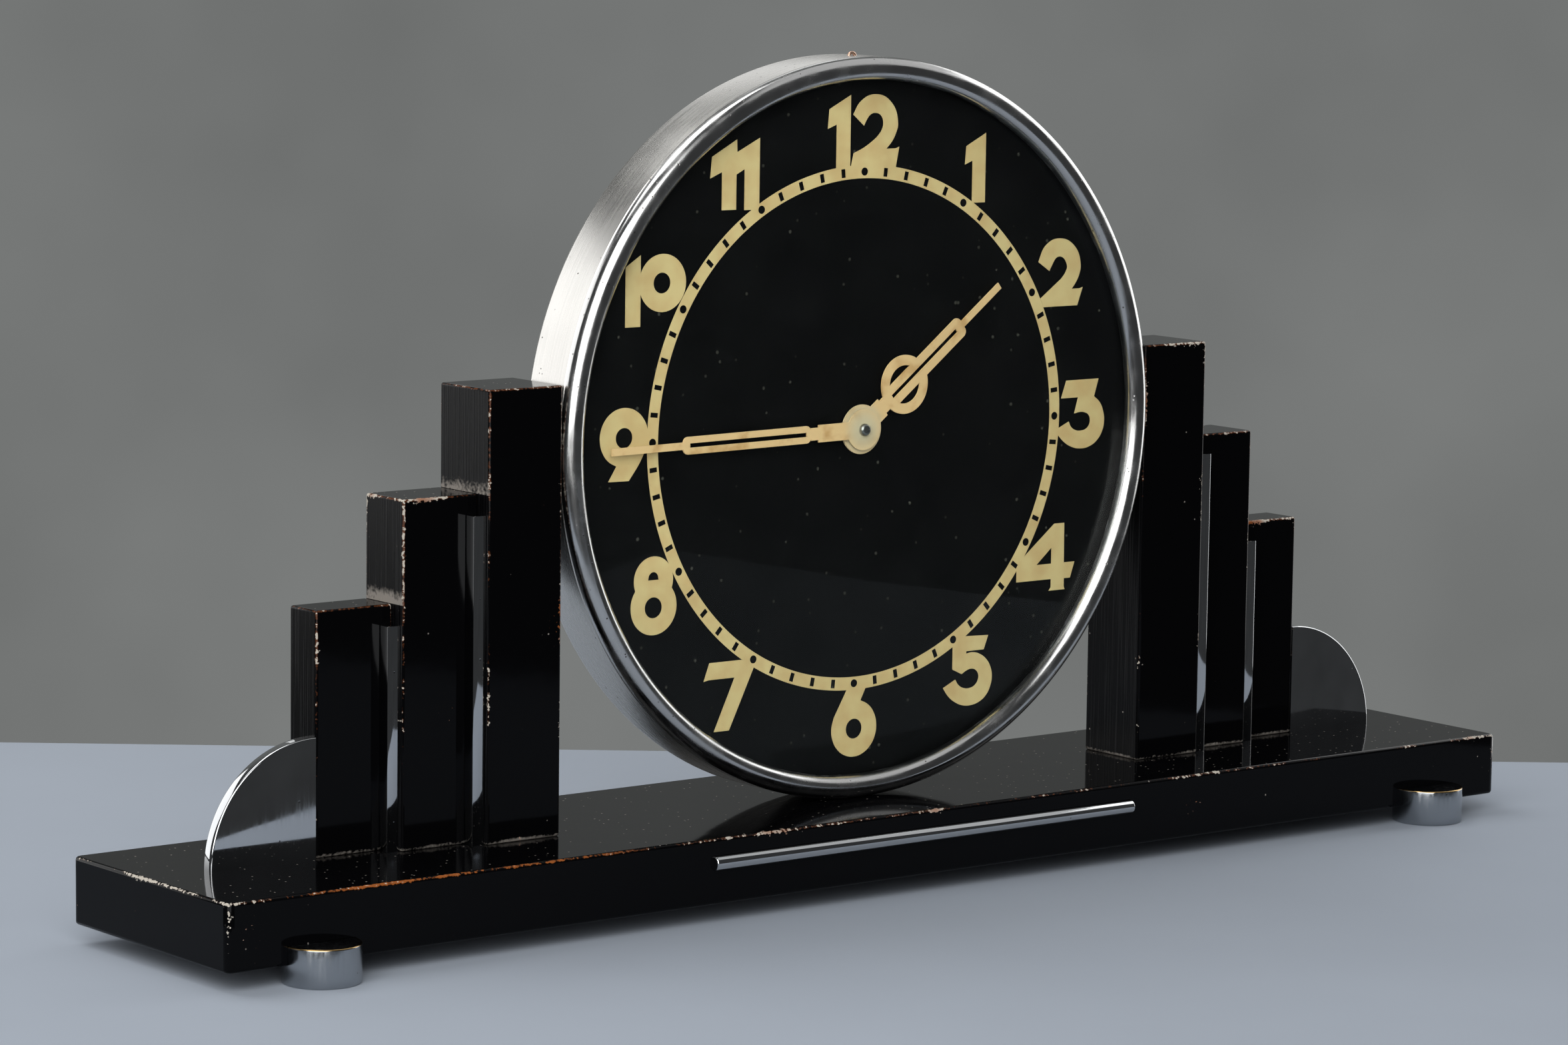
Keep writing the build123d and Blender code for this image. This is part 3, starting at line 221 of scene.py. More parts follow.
@dataclass(frozen=True)
class BlackLacquer:
    """Black brushing lacquer on hardwood.

    It gives the eye a deep black with a clear gloss on the fronts and tops. The sides are rubbed in
    upright lines, the edges are chipped to pale filler and red-brown wood, and dust lies on the tops
    and along the joints. The pale chips also paint the highlight along the rounded edges.
    """

    name: str = "black_lacquer_on_wood"
    black: str = "#050506"
    rubbed_black: str = "#19191A"
    thin_lacquer: str = "#55301C"
    bare_wood: str = "#8C4E24"
    # pale filler of the chips, which also paints the highlight along the rounded edges
    filler_and_glint: str = "#B9B2A6"
    dust: str = "#87817A"
    gloss_roughness: float = 0.07
    rubbed_roughness: float = 0.26
    line_roughness: float = 0.12  # added on the rubbing lines
    bare_roughness: float = 0.5
    specular: float = 0.09
    chip_mm: float = 0.9
    patch_mm: float = 14.0
    line_mm: float = 0.55  # real rubbing lines are about 0.1 mm, too fine to show
    line_run_mm: float = 30.0
    line_depth: float = 0.3
    chip_depth: float = 0.5
    ripple_mm: float = 11.0
    ripple_depth: float = 0.04
    ripple_relief: float = 0.6
    speck_mm: float = 1.8
    speck_size: Point = (0.15, 0.08)
    speck_chance: Point = (0.985, 0.66)  # least chance on upright faces and on tops
    square_on: Point = (0.6, 0.95)  # part of a normal along an axis
    torn: Point = (0.27, 0.73)
    clustered: Point = (0.3, 0.7)
    chipped: Point = (1.93, 2.02)
    wooden: Point = (0.64, 0.74)
    lined: Point = (0.5, 0.72)
    grimy: Point = (0.4, 0.95)
    thinned: Point = (2.3, 2.6)
    knock_gain: float = 0.28  # more chips where the base is knocked
    handled_loss: float = -0.3  # fewer where it is handled
    handled_gain: float = 0.15  # and thinner lacquer there
    handled_from: Corner = (-182.0, -33.0, BASE_TOP)  # stretch of the base's front edge worn by handling
    handled_to: Corner = (-80.0, -33.0, BASE_TOP)
    handled_reach: float = 2.0
    handled_fade: Point = (1.05, 0.6)
    ledges: tuple[Point, ...] = ((110.6, 101.7), (131.2, 77.3))  # sides standing on a neighbour's top
    ledge_width: float = 0.3
    ledge_reach: float = 5.0
    joint_width: float = 1000.0  # the joint with the base has no end to the sides
    joint_reach: float = 1.4
    joint_gap: float = 0.05
    knocked: Point = (188.0, 194.5)  # distance of the base's ends from its middle

    def _masks(self, recipe: Recipe) -> dict[str, Node]:
        """Build the masks that say where a side is rubbed, handled, knocked or dusty.

        Args:
            recipe: The material in the making.

        Returns:
            Nodes "sides", "tops", "handled", "knocked" and "joints", each from 0 to 1.
        """
        add, coords = recipe.add, recipe.at["Object"]
        facing = add("SeparateXYZ", recipe.at["Normal"]).outputs
        place = add("SeparateXYZ", coords).outputs
        turned_out = add("MapRange", add("Math", facing["X"], operation="ABSOLUTE"), *self.square_on)
        column = add("Math", place["Z"], BASE_TOP * MM, operation="GREATER_THAN")
        first, last = metres(self.handled_from), metres(self.handled_to)
        gap = add("VectorMath", coords, (first + last) / 2, operation="SUBTRACT")
        thin = per_metre(self.handled_reach)
        near = add("VectorMath", gap, (2.0 / (last - first).length, thin, thin), operation="MULTIPLY")
        far = add("VectorMath", near, operation="LENGTH")
        beside = add("Math", place["X"], operation="ABSOLUTE")
        joints: Any = 0.0
        bands = [(0.0, BASE_TOP, self.joint_width, self.joint_reach)]
        bands += [(x, z, self.ledge_width, self.ledge_reach) for x, z in self.ledges]
        for x, z, width, reach in bands:
            along = add("Math", beside, x * MM, width * MM, operation="COMPARE")
            above = add("Math", place["Z"], (z + self.joint_gap) * MM, operation="GREATER_THAN")
            fade = add("MapRange", place["Z"], (z + reach) * MM, z * MM)
            here = add("Math", along, above, operation="MULTIPLY")
            band = add("Math", here, fade, operation="MULTIPLY")
            joints = add("Math", joints, band, operation="MAXIMUM")
        return {
            "sides": add("Math", turned_out, column, operation="MULTIPLY"),
            "tops": add("MapRange", facing["Z"], *self.square_on),
            "handled": add("MapRange", far, *self.handled_fade),
            "knocked": add("MapRange", beside, *(distance * MM for distance in self.knocked)),
            "joints": joints,
        }

    def material(self) -> Material:
        """Build the node material.

        Returns:
            The material.
        """
        recipe = Recipe(bpy.data.materials.new(self.name))
        add, coords = recipe.add, recipe.at["Object"]
        mask = self._masks(recipe)
        wear = add("Attribute", attribute_name="wear").outputs["Fac"]
        chips = add("TexNoise", coords, per_metre(self.chip_mm), FINE)
        patches = add("TexNoise", coords, per_metre(self.patch_mm), SOFT)
        torn = add("MapRange", chips, *self.torn)
        clusters = add("MapRange", patches, *self.clustered)
        ragged = add("Math", torn, clusters, operation="ADD")
        edge = add("Math", wear, ragged, operation="ADD")
        knocks = add("Math", mask["knocked"], wear, operation="MULTIPLY")
        struck = add("Math", knocks, self.knock_gain, edge, operation="MULTIPLY_ADD")
        spared = add("Math", mask["handled"], self.handled_loss, struck, operation="MULTIPLY_ADD")
        # chips on the edges: real chips, and their pale colour is also a painted highlight of the rounded
        # edges
        chipped = add("MapRange", spared, *self.chipped)
        tone = add("MapRange", patches, *self.wooden)
        # colour of the chips: pale filler or bare wood, the pale part also a painted edge highlight
        bare_and_glint = add("Mix", tone, self.filler_and_glint, self.bare_wood, data_type="RGBA")
        fine = per_metre(self.line_mm)
        upright = add("Mapping", coords, named={"Scale": (fine, fine, per_metre(self.line_run_mm))})
        line = add("MapRange", add("TexNoise", upright, 1.0, FINE), *self.lined)
        rubbed = add("Math", mask["sides"], line, operation="MULTIPLY")
        ground = add("Mix", rubbed, self.black, self.rubbed_black, data_type="RGBA")
        least = add("MapRange", mask["tops"], 0.0, 1.0, *self.speck_chance)
        specks = scattered(recipe, self.speck_mm, self.speck_size, "Red", least)
        caught = add("Math", mask["joints"], ragged, operation="MULTIPLY")
        dusty = add("Math", specks, add("MapRange", caught, *self.grimy), operation="MAXIMUM")
        soiled = add("Mix", dusty, ground, self.dust, data_type="RGBA")
        thin = add("Math", edge, wear, operation="ADD")
        thinner = add("Math", mask["handled"], self.handled_gain, thin, operation="MULTIPLY_ADD")
        hairline = add("MapRange", thinner, *self.thinned)
        line_colour = add("Mix", mask["handled"], self.thin_lacquer, self.bare_wood, data_type="RGBA")
        rubbed_edge = add("Mix", hairline, soiled, line_colour, data_type="RGBA")
        colour = add("Mix", chipped, rubbed_edge, bare_and_glint, data_type="RGBA")
        sheen = add("MapRange", mask["sides"], 0.0, 1.0, self.gloss_roughness, self.rubbed_roughness)
        streak = add("Math", rubbed, self.line_roughness, sheen, operation="MULTIPLY_ADD")
        marred = add("Math", chipped, dusty, operation="MAXIMUM")
        rough = add("Mix", marred, streak, self.bare_roughness, data_type="FLOAT")
        ripple = add("TexNoise", coords, per_metre(self.ripple_mm))
        waves = {"Height": ripple, "Strength": self.ripple_depth, "Distance": self.ripple_relief * MM}
        normal = add("Bump", named=waves)
        for height, strength, sunk in ((rubbed, self.line_depth, False), (chipped, self.chip_depth, True)):
            relief = {"Height": height, "Normal": normal, "Strength": strength, "Distance": RELIEF}
            normal = add("Bump", named=relief, invert=sunk)
        look = {"Base Color": colour, "Roughness": rough, "Normal": normal}
        look["Specular IOR Level"] = self.specular
        return recipe.close(add("BsdfPrincipled", named=look))


@dataclass(frozen=True)
class Plate:
    """Chromium plate over brass or steel, or bare metal, polished or brushed.

    A metal with a clear mirror image where it is polished and a soft streak where it is brushed. It has
    smears, fine lines and dark pits, and a warmer tint shows where the plate has worn.
    """

    name: str
    metal: str
    pit: str
    clean_roughness: float
    smeared_roughness: float
    line_scale_mm: Corner
    line_depth: float
    pit_mm: float
    pit_size: float
    pit_share: float
    smear_mm: float = 18.0
    worn: str = "#A58B60"
    axis_mm: Corner | None = None  # a point on the lathe's axis, where the fine lines run round it
    smeared: Point = (0.12, 0.42)
    rubbed: Point = (1.05, 1.3)
    pit_depth: float = 0.3

    def _line_place(self, recipe: Recipe) -> Node:
        """Stretch the coordinates along the fine lines.

        Args:
            recipe: The material in the making.

        Returns:
            Node with coordinates in which the lines are about one unit apart.
        """
        add, place = recipe.add, recipe.at["Object"]
        if self.axis_mm is not None:
            offset = add("VectorMath", place, metres(self.axis_mm), operation="SUBTRACT")
            flat = add("VectorMath", offset, (1.0, 0.0, 1.0), operation="MULTIPLY")
            radius = add("VectorMath", flat, operation="LENGTH")
            part = add("SeparateXYZ", place).outputs
            across = add("Math", radius, part["Y"], operation="ADD")
            place = add("CombineXYZ", part["X"], across, part["Z"])
        return add("Mapping", place, named={"Scale": tuple(per_metre(size) for size in self.line_scale_mm)})

    def material(self) -> Material:
        """Build the node material.

        Returns:
            The material.
        """
        recipe = Recipe(bpy.data.materials.new(self.name))
        add = recipe.add
        smear = add("TexNoise", recipe.at["Object"], per_metre(self.smear_mm), FINE)
        lines = add("TexNoise", self._line_place(recipe), 1.0, FINE)
        mixed = add("Math", smear, lines, operation="MULTIPLY")
        rough = add("MapRange", mixed, *self.smeared, self.clean_roughness, self.smeared_roughness)
        size = (self.pit_size, self.pit_size / 2)
        pits = scattered(recipe, self.pit_mm, size, "Red", 1.0 - self.pit_share)
        wear = add("Attribute", attribute_name="wear").outputs["Fac"]
        rubbed = add("MapRange", add("Math", wear, smear, operation="ADD"), *self.rubbed)
        tinted = add("Mix", rubbed, self.metal, self.worn, data_type="RGBA")
        colour = add("Mix", pits, tinted, self.pit, data_type="RGBA")
        scored = add("Bump", named={"Height": lines, "Strength": self.line_depth, "Distance": RELIEF})
        relief = {"Height": pits, "Normal": scored, "Strength": self.pit_depth, "Distance": RELIEF}
        sunk = add("Bump", named=relief, invert=True)
        look = {"Base Color": colour, "Metallic": 1.0, "Roughness": rough, "Normal": sunk}
        return recipe.close(add("BsdfPrincipled", named=look))


@dataclass(frozen=True)
class Paint:
    """Old oil paint or printing ink on sheet metal, satin, mottled and specked."""

    name: str
    colour: str
    mottle: str
    speck: str
    roughness: float
    mottle_mm: float
    speck_mm: float
    speck_share: float
    specular: float = 0.35
    mottled: Point = (0.35, 0.7)
    speck_size: Point = (0.16, 0.08)
    swing: float = 0.08  # of the roughness to each side
    depth: float = 0.08

    def material(self) -> Material:
        """Build the node material.

        Returns:
            The material.
        """
        recipe = Recipe(bpy.data.materials.new(self.name))
        add = recipe.add
        cloud = add("TexNoise", recipe.at["Object"], per_metre(self.mottle_mm), FINEST)
        shade = add("MapRange", cloud, *self.mottled)
        mottled = add("Mix", shade, self.colour, self.mottle, data_type="RGBA")
        specks = scattered(recipe, self.speck_mm, self.speck_size, "Green", 1.0 - self.speck_share)
        colour = add("Mix", specks, mottled, self.speck, data_type="RGBA")
        rough = add("MapRange", cloud, 0.0, 1.0, self.roughness - self.swing, self.roughness + self.swing)
        bump = add("Bump", named={"Height": cloud, "Strength": self.depth, "Distance": RELIEF})
        look = {"Base Color": colour, "Roughness": rough, "Specular IOR Level": self.specular, "Normal": bump}
        return recipe.close(add("BsdfPrincipled", named=look))


@dataclass(frozen=True)
class HandPaint:
    """Cream luminous paint on pierced steel hands, paler round the boss and stained along the blades."""

    name: str = "cream_hand_paint"
    blade: str = "#CCAA7A"
    boss: str = "#B4AA90"
    stain: str = "#AE8652"
    boss_fade: Point = (11.0, 9.0)  # distances from the drum's middle
    stain_mm: float = 5.0
    stained: Point = (0.52, 0.75)
    grain_mm: float = 0.5
    roughness: Point = (0.45, 0.75)
    depth: float = 0.15

    def material(self) -> Material:
        """Build the node material.

        Returns:
            The material.
        """
        recipe = Recipe(bpy.data.materials.new(self.name))
        add, coords = recipe.add, recipe.at["Object"]
        away = add("VectorMath", coords, metres(DRUM_MIDDLE), operation="DISTANCE")
        boss = add("MapRange", away, *(distance * MM for distance in self.boss_fade))
        cloud = add("TexNoise", coords, per_metre(self.stain_mm), FINE)
        stained = add("MapRange", cloud, *self.stained)
        blade = add("Mix", stained, self.blade, self.stain, data_type="RGBA")
        colour = add("Mix", boss, blade, self.boss, data_type="RGBA")
        grain = add("TexNoise", coords, per_metre(self.grain_mm), PLAIN)
        rough = add("MapRange", grain, 0.0, 1.0, *self.roughness)
        bump = add("Bump", named={"Height": grain, "Strength": self.depth, "Distance": RELIEF})
        look = {"Base Color": colour, "Roughness": rough, "Normal": bump}
        return recipe.close(add("BsdfPrincipled", named=look))


@dataclass(frozen=True)
class ClearGlass:
    """Thin domed clock glass: clear, smooth, very slightly wavy, letting lamplight through to the dial.

    Its IOR is below that of plain glass, because the real one hardly mirrors the room.
    """

    name: str = "clear_clock_glass"
    tint: str = "#F6FAF8"
    ior: float = 1.13
    wave_mm: float = 30.0
    wave_depth: float = 0.03
    wave_relief: float = 1.0

    def material(self) -> Material:
        """Build the node material.

        Returns:
            The material.
        """
        recipe = Recipe(bpy.data.materials.new(self.name))
        add = recipe.add
        wave = add("TexNoise", recipe.at["Object"], per_metre(self.wave_mm))
        waves = {"Height": wave, "Strength": self.wave_depth, "Distance": self.wave_relief * MM}
        bump = add("Bump", named=waves)
        look = {"Base Color": self.tint, "Roughness": 0.0, "IOR": self.ior, "Normal": bump}
        look["Transmission Weight"] = 1.0
        glass = add("BsdfPrincipled", named=look)
        shadow = add("LightPath").outputs["Is Shadow Ray"]
        return recipe.close(add("MixShader", shadow, glass, add("BsdfTransparent", self.tint)))


class Finish(Enum):
    """The clock's finishes, named as the record's material slots, with the dial's print beside them."""

    LACQUERED_WOOD = BlackLacquer()
    CHROME_TRIM = Plate(
        "polished_chrome_trim", metal="#C6C8CA", pit="#4A4640", clean_roughness=0.03, smeared_roughness=0.09,
        line_scale_mm=(0.6, 0.6, 14.0), line_depth=0.004, pit_mm=2.6, pit_size=0.10, pit_share=0.18,
    )
    FOOT_CHROME = Plate(
        "worn_chrome_feet", metal="#A6AAAE", pit="#4C4842", clean_roughness=0.08, smeared_roughness=0.24,
        line_scale_mm=(0.8, 0.8, 5.0), line_depth=0.04, pit_mm=1.2, pit_size=0.18, pit_share=0.12,
    )
    DRUM_METAL = Plate(
        "satin_plated_drum", metal="#D2D0CC", pit="#55524D", clean_roughness=0.22, smeared_roughness=0.32,
        line_scale_mm=(30.0, 0.35, 30.0), line_depth=0.025, pit_mm=2.0, pit_size=0.12, pit_share=0.25,
        axis_mm=DRUM_MIDDLE,
    )
    BEZEL_CHROME = Plate(
        "worn_chrome_bezel", metal="#CCCCCB", pit="#4C4740", clean_roughness=0.11, smeared_roughness=0.34,
        line_scale_mm=(9.0, 0.7, 9.0), line_depth=0.03, pit_mm=1.4, pit_size=0.16, pit_share=0.30,
        smear_mm=11.0,
    )
    CLEAR_GLASS = ClearGlass()
    DIAL_BLACK = Paint(
        "satin_black_dial_paint", colour="#070708", mottle="#0A0A0B", speck="#3A3934", roughness=0.34,
        mottle_mm=12.0, speck_mm=3.4, speck_share=0.10, specular=0.12,
    )
    DIAL_CREAM = Paint(
        "cream_dial_print", colour="#C4AE7C", mottle="#BA9D6C", speck="#957B4E", roughness=0.6,
        mottle_mm=6.0, speck_mm=1.1, speck_share=0.22,
    )
    HAND_CREAM = HandPaint()
    # the wire's pale pink colour is partly a painted glint, paler than the copper itself
    COPPER_WIRE = Plate(
        "tarnished_copper_wire", metal="#D9B49E", pit="#6A4A38", clean_roughness=0.22, smeared_roughness=0.5,
        line_scale_mm=(0.5, 0.5, 0.5), line_depth=0.1, pit_mm=0.5, pit_size=0.2, pit_share=0.4,
    )
    STEEL = Plate(
        "turned_steel", metal="#9C9C9A", pit="#4B4844", clean_roughness=0.22, smeared_roughness=0.36,
        line_scale_mm=(6.0, 0.4, 6.0), line_depth=0.05, pit_mm=1.5, pit_size=0.12, pit_share=0.2,
    )
    BRASS = Plate(
        "lacquered_brass", metal="#D2B068", pit="#6B5128", clean_roughness=0.24, smeared_roughness=0.32,
        line_scale_mm=(25.0, 25.0, 0.3), line_depth=0.005, pit_mm=1.8, pit_size=0.12, pit_share=0.2,
    )


@cache
def material_of(finish: Finish) -> Material:
    """Return the material of a finish, made on first use."""
    return finish.value.material()


def dress(piece: Piece, finish: Finish) -> None:
    """Give a piece one finish all over."""
    piece.data.materials.clear()
    piece.data.materials.append(material_of(finish))


# Modelling steps


def corners(node: str) -> tuple[Vector, Vector]:
    """Return the lowest and highest corner of a CAD node, in metres."""
    low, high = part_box(node)
    return Vector(low), Vector(high)


def clear_selection() -> None:
    """Leave edit mode and deselect everything."""
    if bpy.context.object is not None and bpy.context.object.mode != "OBJECT":
        bpy.ops.object.mode_set(mode="OBJECT")
    bpy.ops.object.select_all(action="DESELECT")


def select_only(piece: Piece) -> None:
    """Make one object the active and only selected one.

    Args:
        piece: The object.
    """
    clear_selection()
    piece.select_set(True)
    bpy.context.view_layer.objects.active = piece


def freeze(piece: Piece) -> None:
    """Move a piece's place, turn and size into its mesh."""
    select_only(piece)
    bpy.ops.object.transform_apply(location=True, rotation=True, scale=True)


@contextmanager
def editing(piece: Piece) -> Iterator[None]:
    """Open a piece in edit mode, and leave it at the end.

    Args:
        piece: The piece.

    Returns:
        Context in which the mesh is edited.
    """
    select_only(piece)
    bpy.ops.object.mode_set(mode="EDIT")
    yield
    bpy.ops.object.mode_set(mode="OBJECT")


def pick(piece: Piece, element: Element, test: Callable[[Any], bool]) -> None:
    """Select what passes a test in a mesh in edit mode.

    Args:
        piece: Object in edit mode.
        element: What is selected.
        test: Says whether a face, edge or point is selected.
    """
    bpy.ops.mesh.select_mode(type=element.name)
    bpy.ops.mesh.select_all(action="DESELECT")
    mesh = bmesh.from_edit_mesh(piece.data)
    for part in getattr(mesh, element.value):
        part.select_set(test(part))
    mesh.select_flush_mode()
    bmesh.update_edit_mesh(piece.data)


def pick_all() -> None:
    """Select the whole mesh in edit mode."""
    bpy.ops.mesh.select_all(action="SELECT")


def round_picked(radius_mm: float, segments: int = FACETS) -> None:
    """Round the selected edges of the mesh in edit mode."""
    bpy.ops.mesh.bevel(offset=radius_mm * MM, segments=segments, affect="EDGES")


def rise(edge: Any) -> float:
    """Return the difference in height between an edge's ends."""
    return abs(edge.verts[0].co.z - edge.verts[1].co.z)


def block(
    name: str, low: Vector, high: Vector, edge_mm: float, segments: int = FACETS,
    which: Callable[[Any], bool] = lambda edge: True,
) -> Piece:
    """Model a box with rounded edges.

    Args:
        name: Name of the piece.
        low: Lowest corner in metres.
        high: Highest corner in metres.
        edge_mm: Radius of the rounding.
        segments: Facets across the rounding.
        which: Says whether an edge is rounded.

    Returns:
        The box.
    """
    clear_selection()
    bpy.ops.mesh.primitive_cube_add(size=1.0, location=(low + high) / 2)
    piece = bpy.context.object
    piece.name = name
    piece.scale = high - low
    freeze(piece)
    with editing(piece):
        pick(piece, Element.EDGE, which)
        round_picked(edge_mm, segments)
    return piece


def cylinder(
    name: str, middle: Vector, radius: float, depth: float, steps: int, turn: Corner = (0.0, 0.0, 0.0)
) -> Piece:
    """Add an upright or turned cylinder to start a piece from, with its sizes in metres.

    Args:
        name: Name of the piece.
        middle: Its middle.
        radius: Its radius.
        depth: Its length.
        steps: Facets round it.
        turn: How its axis is turned from upright.

    Returns:
        The cylinder.
    """
    clear_selection()
    bpy.ops.mesh.primitive_cylinder_add(
        vertices=steps, radius=radius, depth=depth, location=middle, rotation=turn
    )
    piece = bpy.context.object
    piece.name = name
    freeze(piece)
    return piece


def turned(name: str, profile: Sequence[Point], middle: Corner, steps: int) -> Piece:
    """Turn a closed profile round a front-to-back axis, as on a lathe.

    Args:
        name: Name of the piece.
        profile: Radius and depth (Y) of each point, without repeating the first.
        middle: A point on the axis.
        steps: Facets round the axis.

    Returns:
        The turned piece.
    """
    clear_selection()
    first = (middle[0] + profile[0][0], profile[0][1], middle[2])
    bpy.ops.mesh.primitive_plane_add(size=MM, location=metres(first))
    piece = bpy.context.object
    piece.name = name
    freeze(piece)
    closed = list(profile) + [profile[0]]
    with editing(piece):
        bpy.ops.mesh.select_mode(type="VERT")
        pick_all()
        bpy.ops.mesh.merge(type="CENTER")
        for start, end in zip(closed, closed[1:]):
            step = ((end[0] - start[0]) * MM, (end[1] - start[1]) * MM, 0.0)
            bpy.ops.mesh.extrude_region_move(TRANSFORM_OT_translate={"value": step})
        pick_all()
        bpy.ops.mesh.remove_doubles(threshold=TINY)
        pick_all()
        bpy.ops.mesh.spin(steps=steps, angle=FULL_TURN, center=metres(middle), axis=(0.0, 1.0, 0.0))
        pick_all()
        bpy.ops.mesh.remove_doubles(threshold=2 * TINY)
        bpy.ops.mesh.delete_loose(use_verts=True, use_edges=True, use_faces=False)
        pick_all()
        bpy.ops.mesh.normals_make_consistent(inside=False)
    return piece


def arc(middle: Point, radius: float, start: float, end: float, count: int) -> list[Point]:
    """Points along an arc, ends included.

    Args:
        middle: Centre of the arc.
        radius: Its radius.
        start: First angle in degrees.
        end: Last angle in degrees.
        count: Number of steps.

    Returns:
        count + 1 points.
    """
    angles = (math.radians(start + (end - start) * step / count) for step in range(count + 1))
    return [(middle[0] + radius * math.cos(a), middle[1] + radius * math.sin(a)) for a in angles]


def spun(middle: Corner, degrees: float) -> Matrix:
    """Matrix that turns a mesh round the front-to-back axis through a point."""
    place = Matrix.Translation(metres(middle))
    return place @ Matrix.Rotation(math.radians(degrees), 4, "Y") @ place.inverted()


def smooth(piece: Piece, angle: float = 35.0) -> None:
    """Shade a piece smoothly across edges flatter than an angle in degrees."""
    select_only(piece)
    bpy.ops.object.shade_smooth_by_angle(angle=math.radians(angle))


def flat_faces(piece: Piece) -> None:
    """Shade the faces that lie square to the axes flat, so that only the edges look round."""
    with editing(piece):
        pick(piece, Element.FACE, lambda face: max(abs(part) for part in face.normal) > SQUARE)
        bpy.ops.mesh.faces_shade_flat()


def mark_wear(piece: Piece, wear: Callable[[Vector], float]) -> None:
    """Write the wear at each point, from 0 to about 1, where the finish reads it."""
    attribute = piece.data.attributes.new("wear", "FLOAT", "POINT")
    attribute.data.foreach_set("value", [wear(vertex.co) for vertex in piece.data.vertices])


def combine(piece: Piece, tool: Piece, fuse: Fuse) -> None:
    """Add a tool to a piece or cut it away, and remove the tool.

    Args:
        piece: Object that is changed.
        tool: Object that is used up.
        fuse: What is done.
    """
    select_only(piece)
    modifier = piece.modifiers.new("joined", "BOOLEAN")
    modifier.operation = fuse.value
    modifier.solver = "EXACT"
    modifier.object = tool
    bpy.ops.object.modifier_apply(modifier=modifier.name)
    bpy.data.objects.remove(tool)


def copy_of(piece: Piece, name: str, place: Matrix) -> Piece:
    """Copy a piece with a mesh of its own, moved or turned in the mesh.

    Args:
        piece: The piece.
        name: Name of the copy.
        place: How the mesh is moved.

    Returns:
        The copy.
    """
    twin = piece.copy()
    twin.data = piece.data.copy()
    twin.data.transform(place)
    twin.name = name
    bpy.context.collection.objects.link(twin)
    return twin


def join(pieces: Sequence[Piece], name: str) -> Piece:
    """Join objects into the first.

    Args:
        pieces: The objects, which are used up.
        name: Name of the result.

    Returns:
        The joined piece.
    """
    select_only(pieces[0])
    for piece in pieces[1:]:
        piece.select_set(True)
    bpy.ops.object.join()
    pieces[0].name = name
    return pieces[0]


@dataclass
class SubAssembly:
    """A group of pieces, fitted round the CAD's nodes."""

    nodes: dict[str, Piece]

    def fit(self, piece: Piece, finish: Finish, *replaced: str, body: str = "case", slot: str = "") -> None:
        """Dress a finished piece and fix it to its body.

        Args:
            piece: The new piece, in place.
            finish: Its finish.
            *replaced: CAD nodes that it stands for.
            body: CAD body that it moves with.
            slot: Not used.
        """
        dress(piece, finish)
        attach(piece, body)
        if replaced:
            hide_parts(*replaced)
        log.info("built %s on %s", piece.name, body)

    def keep(self, finish: Finish, *names: str) -> None:
        """Dress CAD nodes that stay as they are."""
        for name in names:
            dress(self.nodes[name], finish)
            log.info("dressed %s", name)


# The clock


